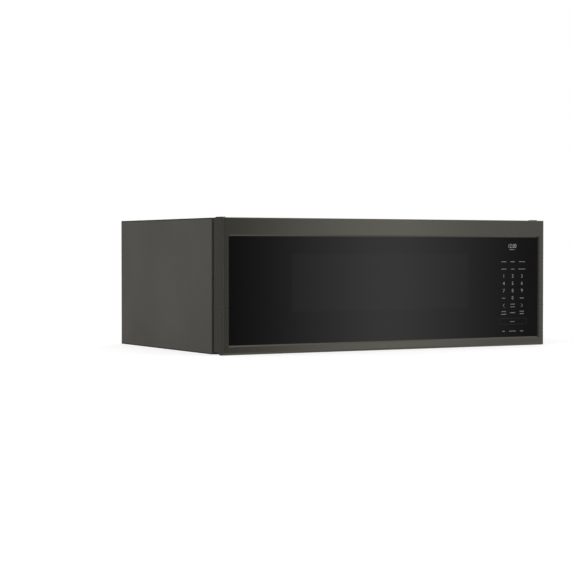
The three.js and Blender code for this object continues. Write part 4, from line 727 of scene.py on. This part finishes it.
def pressPanel(node, turn, onFace, inward):
    # onFace puts two places across the panel and the height of its face in the order X, Y, Z
    facts = sunk[node]

    def toPlace(across, along):
        return onFace(across, along, facts["face"])

    panel = mergedCopy(node, facts["name"])
    flatHead = copyTo(screwHead, "flat_head", (0, 0, 0))
    selectOnly(flatHead)
    flatHead.scale = (1, 1, sunk["screwHeight"] / screw["height"])
    bpy.ops.object.transform_apply(location=False, rotation=False, scale=True)
    for i, spot in enumerate(facts["places"]):
        dimple = addDisc("dimple", sunk["dimple"], 2 * sunk["dimpleDepth"], toPlace(*spot), turn)
        cutAway(panel, dimple)
        seat = [a + b * sunk["dimpleDepth"] for a, b in zip(toPlace(*spot), inward)]
        dress(copyTo(flatHead, f"screw_{node}_{i + 1}", seat, turn), finishes["zincPlate"], "case")
    bpy.data.objects.remove(flatHead)
    lift = sunk["beadRound"] - sunk["beadDepth"]
    for across, along, length, direction in facts["beads"]:
        middle = [a - b * lift for a, b in zip(toPlace(across, along), inward)]
        bead = addDisc("bead", sunk["beadRound"], length, middle, direction, sides=72)
        bevelEdges(bead, sunk["beadEnd"], 5)
        cutAway(panel, bead)
    dress(panel, finishes[facts["finish"]], "case", smooth=12)
    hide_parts(node)


pressPanel("top_panel", (0, 0, 0), lambda x, y, face: (x, y, face), (0, 0, -1))
pressPanel("back_panel", (-math.pi / 2, 0, 0), lambda x, z, face: (x, face, z), (0, -1, 0))
pressPanel("base_pan", (math.pi, 0, 0), lambda x, y, face: (x, y, face), (0, 0, 1))
bpy.data.objects.remove(screwHead)
print("top, back and base pressed")


# expanded aluminium mesh in the grease filters

# width and depth of the net, and how far it lies above the filter's bottom
net = {"width": 222, "depth": 132, "cell": 5.2, "stretch": 1.6, "wire": 0.9, "rise": 1.6}


def filterMesh(side):
    low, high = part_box(f"grease_filter_{side}")
    middle = (low + high) / 2
    count = int(net["width"] * 1.3 / net["cell"])  # enough cells to cover the net when it lies turned
    selectOnly()
    bpy.ops.mesh.primitive_grid_add(x_subdivisions=count, y_subdivisions=count, size=net["cell"] * count * 0.001,
                                    rotation=(0, 0, math.pi / 4))
    bpy.ops.object.transform_apply(location=False, rotation=True, scale=False)
    sheet = nameIt(f"filter_mesh_{side}")
    sheet.scale = (net["stretch"], 1, 1)
    bpy.ops.object.transform_apply(location=False, rotation=False, scale=True)
    for axis, half in ((0, net["width"] / 2000), (1, net["depth"] / 2000)):
        for way in (-1, 1):
            normal = [way if i == axis else 0 for i in range(3)]
            pick(sheet, "FACE", lambda face: True)
            bpy.ops.mesh.bisect(plane_co=[n * half for n in normal], plane_no=normal, clear_outer=True)
            bpy.ops.object.mode_set(mode="OBJECT")
    applyModifier(sheet, "WIREFRAME", thickness=net["wire"] * 0.001, use_boundary=True)
    sheet.location = (middle.x, middle.y, low.z + net["rise"] * 0.001)
    selectOnly(sheet)
    bpy.ops.object.transform_apply(location=True, rotation=False, scale=False)
    return dress(sheet, finishes["aluminium"], f"filter_{side}")


for side in ("left", "right"):
    filterMesh(side)
print("filter mesh laid")


# punched air holes in the oven's walls, and a pressed ring round the rollers' track

punched = {"radius": 1.6, "pitch": 6.0, "wall": 3,
           # middle of each field on its wall, and the number of holes along Y and Z
           "fields": [((-297.4, -135, 186), (12, 5)), ((-297.4, 60, 186), (12, 5)), ((253.4, 122, 186), (6, 5))],
           # middle along X and Y, outer and inner radius, and depth
           "track": (-22, -20.45, 116, 112, 0.4), "floor": 52}


def holeField(hole, middle, counts, pitch):
    # copies of one cutter in rows along Y and Z, as one piece
    cutters = []
    for i in range(counts[0]):
        for j in range(counts[1]):
            y = middle[1] + (i - (counts[0] - 1) / 2) * pitch
            z = middle[2] + (j - (counts[1] - 1) / 2) * pitch
            cutters.append(copyTo(hole, f"hole_{i}_{j}", (middle[0], y, z)))
    return joinAll("holes", cutters)


def punchOven():
    shell = mergedCopy("cavity_shell", "cavity_shell_punched")
    hole = addDisc("hole", punched["radius"], punched["wall"], (0, 0, 0), (0, math.pi / 2, 0), sides=16)
    for middle, counts in punched["fields"]:
        cutAway(shell, holeField(hole, middle, counts, punched["pitch"]))
    bpy.data.objects.remove(hole)
    x, y, outer, inner, depth = punched["track"]
    ring = addDisc("ring", outer, 2 * depth, (x, y, punched["floor"]), sides=96)
    cutAway(ring, addDisc("core", inner, 6 * depth, (x, y, punched["floor"]), sides=96))
    cutAway(shell, ring)
    dress(shell, finishes["enamel"], "case")
    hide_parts("cavity_shell")


punchOven()


# push-in buttons that hold the mica cover, and the punched guard over the oven lamp

buttons = {"radius": 3.4, "height": 1.1, "round": 0.5, "inset": 6}
guard = {"low": (252.4, -137, 163), "high": (252.9, -103, 197), "counts": (5, 5), "pitch": 5.8, "hole": 2.1}


def placeButtons():
    low, high = [v * 1000 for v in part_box("waveguide_cover")]
    cap = addDisc("cap", buttons["radius"], buttons["height"], (-buttons["height"] / 2, 0, 0), (0, math.pi / 2, 0))
    outside = -buttons["height"] * 0.0005
    bevelEdges(cap, buttons["round"], 3, lambda edge: max(v.co.x for v in edge.verts) < outside)
    inset = buttons["inset"]
    places = [(y, z) for y in (low.y + inset, high.y - inset) for z in (low.z + inset, high.z - inset)]
    for i, (y, z) in enumerate(places):
        dress(copyTo(cap, f"mica_button_{i + 1}", (low.x, y, z)), finishes["whitePlastic"], "case")
    bpy.data.objects.remove(cap)


def modelGuard():
    plate = addBlock("oven_lamp_guard", guard["low"], guard["high"])
    middle = [(a + b) / 2 for a, b in zip(guard["low"], guard["high"])]
    hole = addDisc("hole", guard["hole"], 3, (0, 0, 0), (0, math.pi / 2, 0), sides=20)
    cutAway(plate, holeField(hole, middle, guard["counts"], guard["pitch"]))
    bpy.data.objects.remove(hole)
    dress(plate, finishes["enamel"], "case")


placeButtons()
modelGuard()
print("oven detailed")


# inside of the door: rubber gasket and printed border round the window, and plugs over the screws

# the window's corners along X and Z; width of the gasket and the border, and where each starts and ends along Y
window = {"low": (-228.85, 80.15), "high": (184.85, 190.85), "gasket": 4.5, "gasketY": (-202.4, -199.1),
          "border": 13, "borderY": (-202.45, -202.41), "corner": 6}
plugs = {"radius": 4.6, "height": 0.5, "round": 0.3, "seat": -198.45,
         "places": [(-345, 22), (-345, 238), (345, 22), (345, 238), (-22, 20), (-22, 240), (345, 130)]}


def frameRing(name, spanY, width, material):
    (x0, z0), (x1, z1) = window["low"], window["high"]
    ring = addBlock(name, (x0, spanY[0], z0), (x1, spanY[1], z1))
    openUp(ring, width)
    inner = x0 * 0.001 + width * 0.0005, x1 * 0.001 - width * 0.0005
    bevelEdges(ring, window["corner"], 6,
               lambda edge: runsAlongY(edge) and inner[0] < edge.verts[0].co.x < inner[1])
    return dress(ring, material, "door")


def placePlugs():
    plug = addDisc("plug", plugs["radius"], plugs["height"], (0, 0, plugs["height"] / 2))
    top = plugs["height"] * 0.001
    bevelEdges(plug, plugs["round"], 3, lambda edge: min(v.co.z for v in edge.verts) > top - 1e-6)
    for i, (x, z) in enumerate(plugs["places"]):
        dress(copyTo(plug, f"screw_plug_{i + 1}", (x, plugs["seat"], z), (-math.pi / 2, 0, 0)),
              finishes["greyPlastic"], "door")
    bpy.data.objects.remove(plug)


frameRing("window_border", window["borderY"], window["border"], finishes["borderInk"])
frameRing("window_gasket", window["gasketY"], window["gasket"], finishes["gasket"])
placePlugs()
print("door's inside detailed")


# studio: pale floor, soft light, and a round tent that only reflections see

def lookingRays(tree):
    # 1 for what the camera sees, straight, mirrored or through glass, and 0 for what lights the object
    rays = add(tree, "ShaderNodeLightPath")
    seen = add(tree, "ShaderNodeMath", {0: rays.outputs["Is Camera Ray"], 1: rays.outputs["Is Glossy Ray"]},
               operation="MAXIMUM")
    return add(tree, "ShaderNodeMath", {0: seen.outputs[0], 1: rays.outputs["Is Transmission Ray"]},
               operation="MAXIMUM").outputs[0]


def floorPaper():
    # matt white paper that keeps the shadow and otherwise shows as the white backdrop
    look = {"dark": "#bcbcbb", "light": "#bfbfbe", "fibreMm": 300, "glow": 0.6}
    material, tree, shader, place = startMaterial("white_floor_paper", Roughness=0.9)
    fibre = add(tree, "ShaderNodeTexNoise", {"Vector": place, "Scale": perMetre(look["fibreMm"]), "Detail": 2.0})
    tone = add(tree, "ShaderNodeValToRGB", {"Fac": fibre.outputs["Fac"]},
               stops=[(0.3, look["dark"]), (0.7, look["light"])])
    tree.links.new(tone.outputs[0], shader.inputs["Base Color"])
    glow = add(tree, "ShaderNodeMath", {0: lookingRays(tree), 1: look["glow"]}, operation="MULTIPLY")
    light = add(tree, "ShaderNodeEmission", {"Color": (1, 1, 1, 1), "Strength": glow.outputs[0]})
    both = add(tree, "ShaderNodeAddShader", {0: shader.outputs[0], 1: light.outputs[0]})
    out = next(n for n in tree.nodes if n.bl_idname == "ShaderNodeOutputMaterial")
    tree.links.new(both.outputs[0], out.inputs["Surface"])
    return material


def tentGlow(stops, low, high):
    # white cloth lit unevenly in upright strips, brightest to the right of the front, and an even grey
    # low down and high up
    cloth = bpy.data.materials.new("tent_cloth")
    cloth.use_nodes = True
    tree = cloth.node_tree
    tree.nodes.clear()
    place = add(tree, "ShaderNodeTexCoord").outputs["Object"]
    around = add(tree, "ShaderNodeTexGradient", {"Vector": place}, gradient_type="RADIAL")
    # the gradient counts turns from the left, and each stop is given in degrees from the front to the right
    strips = add(tree, "ShaderNodeValToRGB", {"Fac": around.outputs["Fac"]},
                 stops=[(degrees / 360 + 0.25, level) for degrees, level in stops])
    axes = add(tree, "ShaderNodeSeparateXYZ", {"Vector": place})
    tone = strips.outputs[0]
    for start, end, level in (low, high):
        share = add(tree, "ShaderNodeMapRange", {"Value": axes.outputs["Z"], "From Min": start, "From Max": end},
                    interpolation_type="SMOOTHSTEP")
        tone = add(tree, "ShaderNodeMix", {"Factor": share.outputs[0], 6: tone, 7: (level, level, level, 1)},
                   data_type="RGBA").outputs[2]
    light = add(tree, "ShaderNodeEmission", {"Color": tone, "Strength": 1.0})
    add(tree, "ShaderNodeOutputMaterial", {"Surface": light.outputs[0]})
    return cloth


studio = {
    # in metres; the tent's strips are degrees from the front to the right, and level
    "tentRadius": 3.2, "tentBottom": -12.0, "tentTop": 7.5,
    "tentStrips": [(-90, 0.1), (-70, 0.08), (-60, 0.7), (-48, 0.7), (-38, 0.1), (-28, 0.14), (-14, 0.28), (-4, 0.18),
                   (8, 0.06), (19.2, 0.08), (23, 0.26), (29.1, 0.78), (30.4, 0.87), (31.7, 0.83), (37.1, 0.34),
                   (40.4, 0.11), (45, 0.55), (53, 1.0), (62, 0.8), (78, 0.12), (122, 0.1), (140, 0.45),
                   (165, 0.55), (185, 0.6), (203, 0.22), (225, 0.19), (270, 0.16)],
    # height where each grey starts, height where it is full, and level
    "tentLow": (-0.7, -1.8, 0.42), "tentHigh": (1.1, 2.4, 0.52),
    "keyPlace": (-2.6, -1.0, 2.5), "keySize": 2.2, "keyPower": 34,
    "fillPlace": (2.6, -1.2, 2.8), "fillSize": 2.6, "fillPower": 22,
    "worldForLight": 0.72,
}
selectOnly()
bpy.ops.mesh.primitive_plane_add(size=60, location=(0, 0, -0.0002))
floor = nameIt("floor")
floor.data.materials.append(floorPaper())
floor.visible_glossy = False

selectOnly()
height = studio["tentTop"] - studio["tentBottom"]
bpy.ops.mesh.primitive_cylinder_add(vertices=256, radius=studio["tentRadius"], depth=height, end_fill_type="NOTHING",
                                    location=(0, 0, (studio["tentTop"] + studio["tentBottom"]) / 2))
bpy.ops.object.transform_apply(location=True, rotation=False, scale=False)
tent = nameIt("reflection_tent")
tent.data.materials.append(tentGlow(studio["tentStrips"], studio["tentLow"], studio["tentHigh"]))
for ray in ("camera", "diffuse", "shadow", "transmission", "volume_scatter"):
    setattr(tent, f"visible_{ray}", False)

for name in ("key", "fill"):
    lamp = bpy.data.lights.new(f"{name}_softbox", "AREA")
    lamp.size = studio[name + "Size"]
    lamp.energy = studio[name + "Power"]
    box = bpy.data.objects.new(lamp.name, lamp)
    scene.collection.objects.link(box)
    box.location = studio[name + "Place"]
    box.rotation_euler = (Vector((0, 0, 0.1)) - box.location).to_track_quat("-Z", "Y").to_euler()
    box.visible_glossy = False

world = bpy.data.worlds.new("studio_white")
scene.world = world
world.use_nodes = True
tree = world.node_tree
tree.nodes.clear()
strength = add(tree, "ShaderNodeMapRange", {"Value": lookingRays(tree), "To Min": studio["worldForLight"],
                                            "To Max": 1.0})
sky = add(tree, "ShaderNodeBackground", {"Color": (1, 1, 1, 1), "Strength": strength.outputs[0]})
add(tree, "ShaderNodeOutputWorld", {"Surface": sky.outputs[0]})

# camera level with the upper part of the door, turned to show the left side and tipped down a little;
# its place is in metres, its angles in degrees
camera = {"place": (-1.80542, -3.00488, 0.19706), "turn": 29.426, "tip": 1.212, "focalPixels": 1658.2,
          "imageSize": 572}
lens = bpy.data.cameras.new("camera")
eye = bpy.data.objects.new("camera", lens)
scene.collection.objects.link(eye)
eye.location = camera["place"]
eye.rotation_euler = (math.pi / 2 - math.radians(camera["tip"]), 0, -math.radians(camera["turn"]))
lens.sensor_width = 36
lens.lens = camera["focalPixels"] * 36 / camera["imageSize"]
lens.clip_end = 200
scene.camera = eye
scene.view_settings.view_transform = "Standard"
print("studio ready")
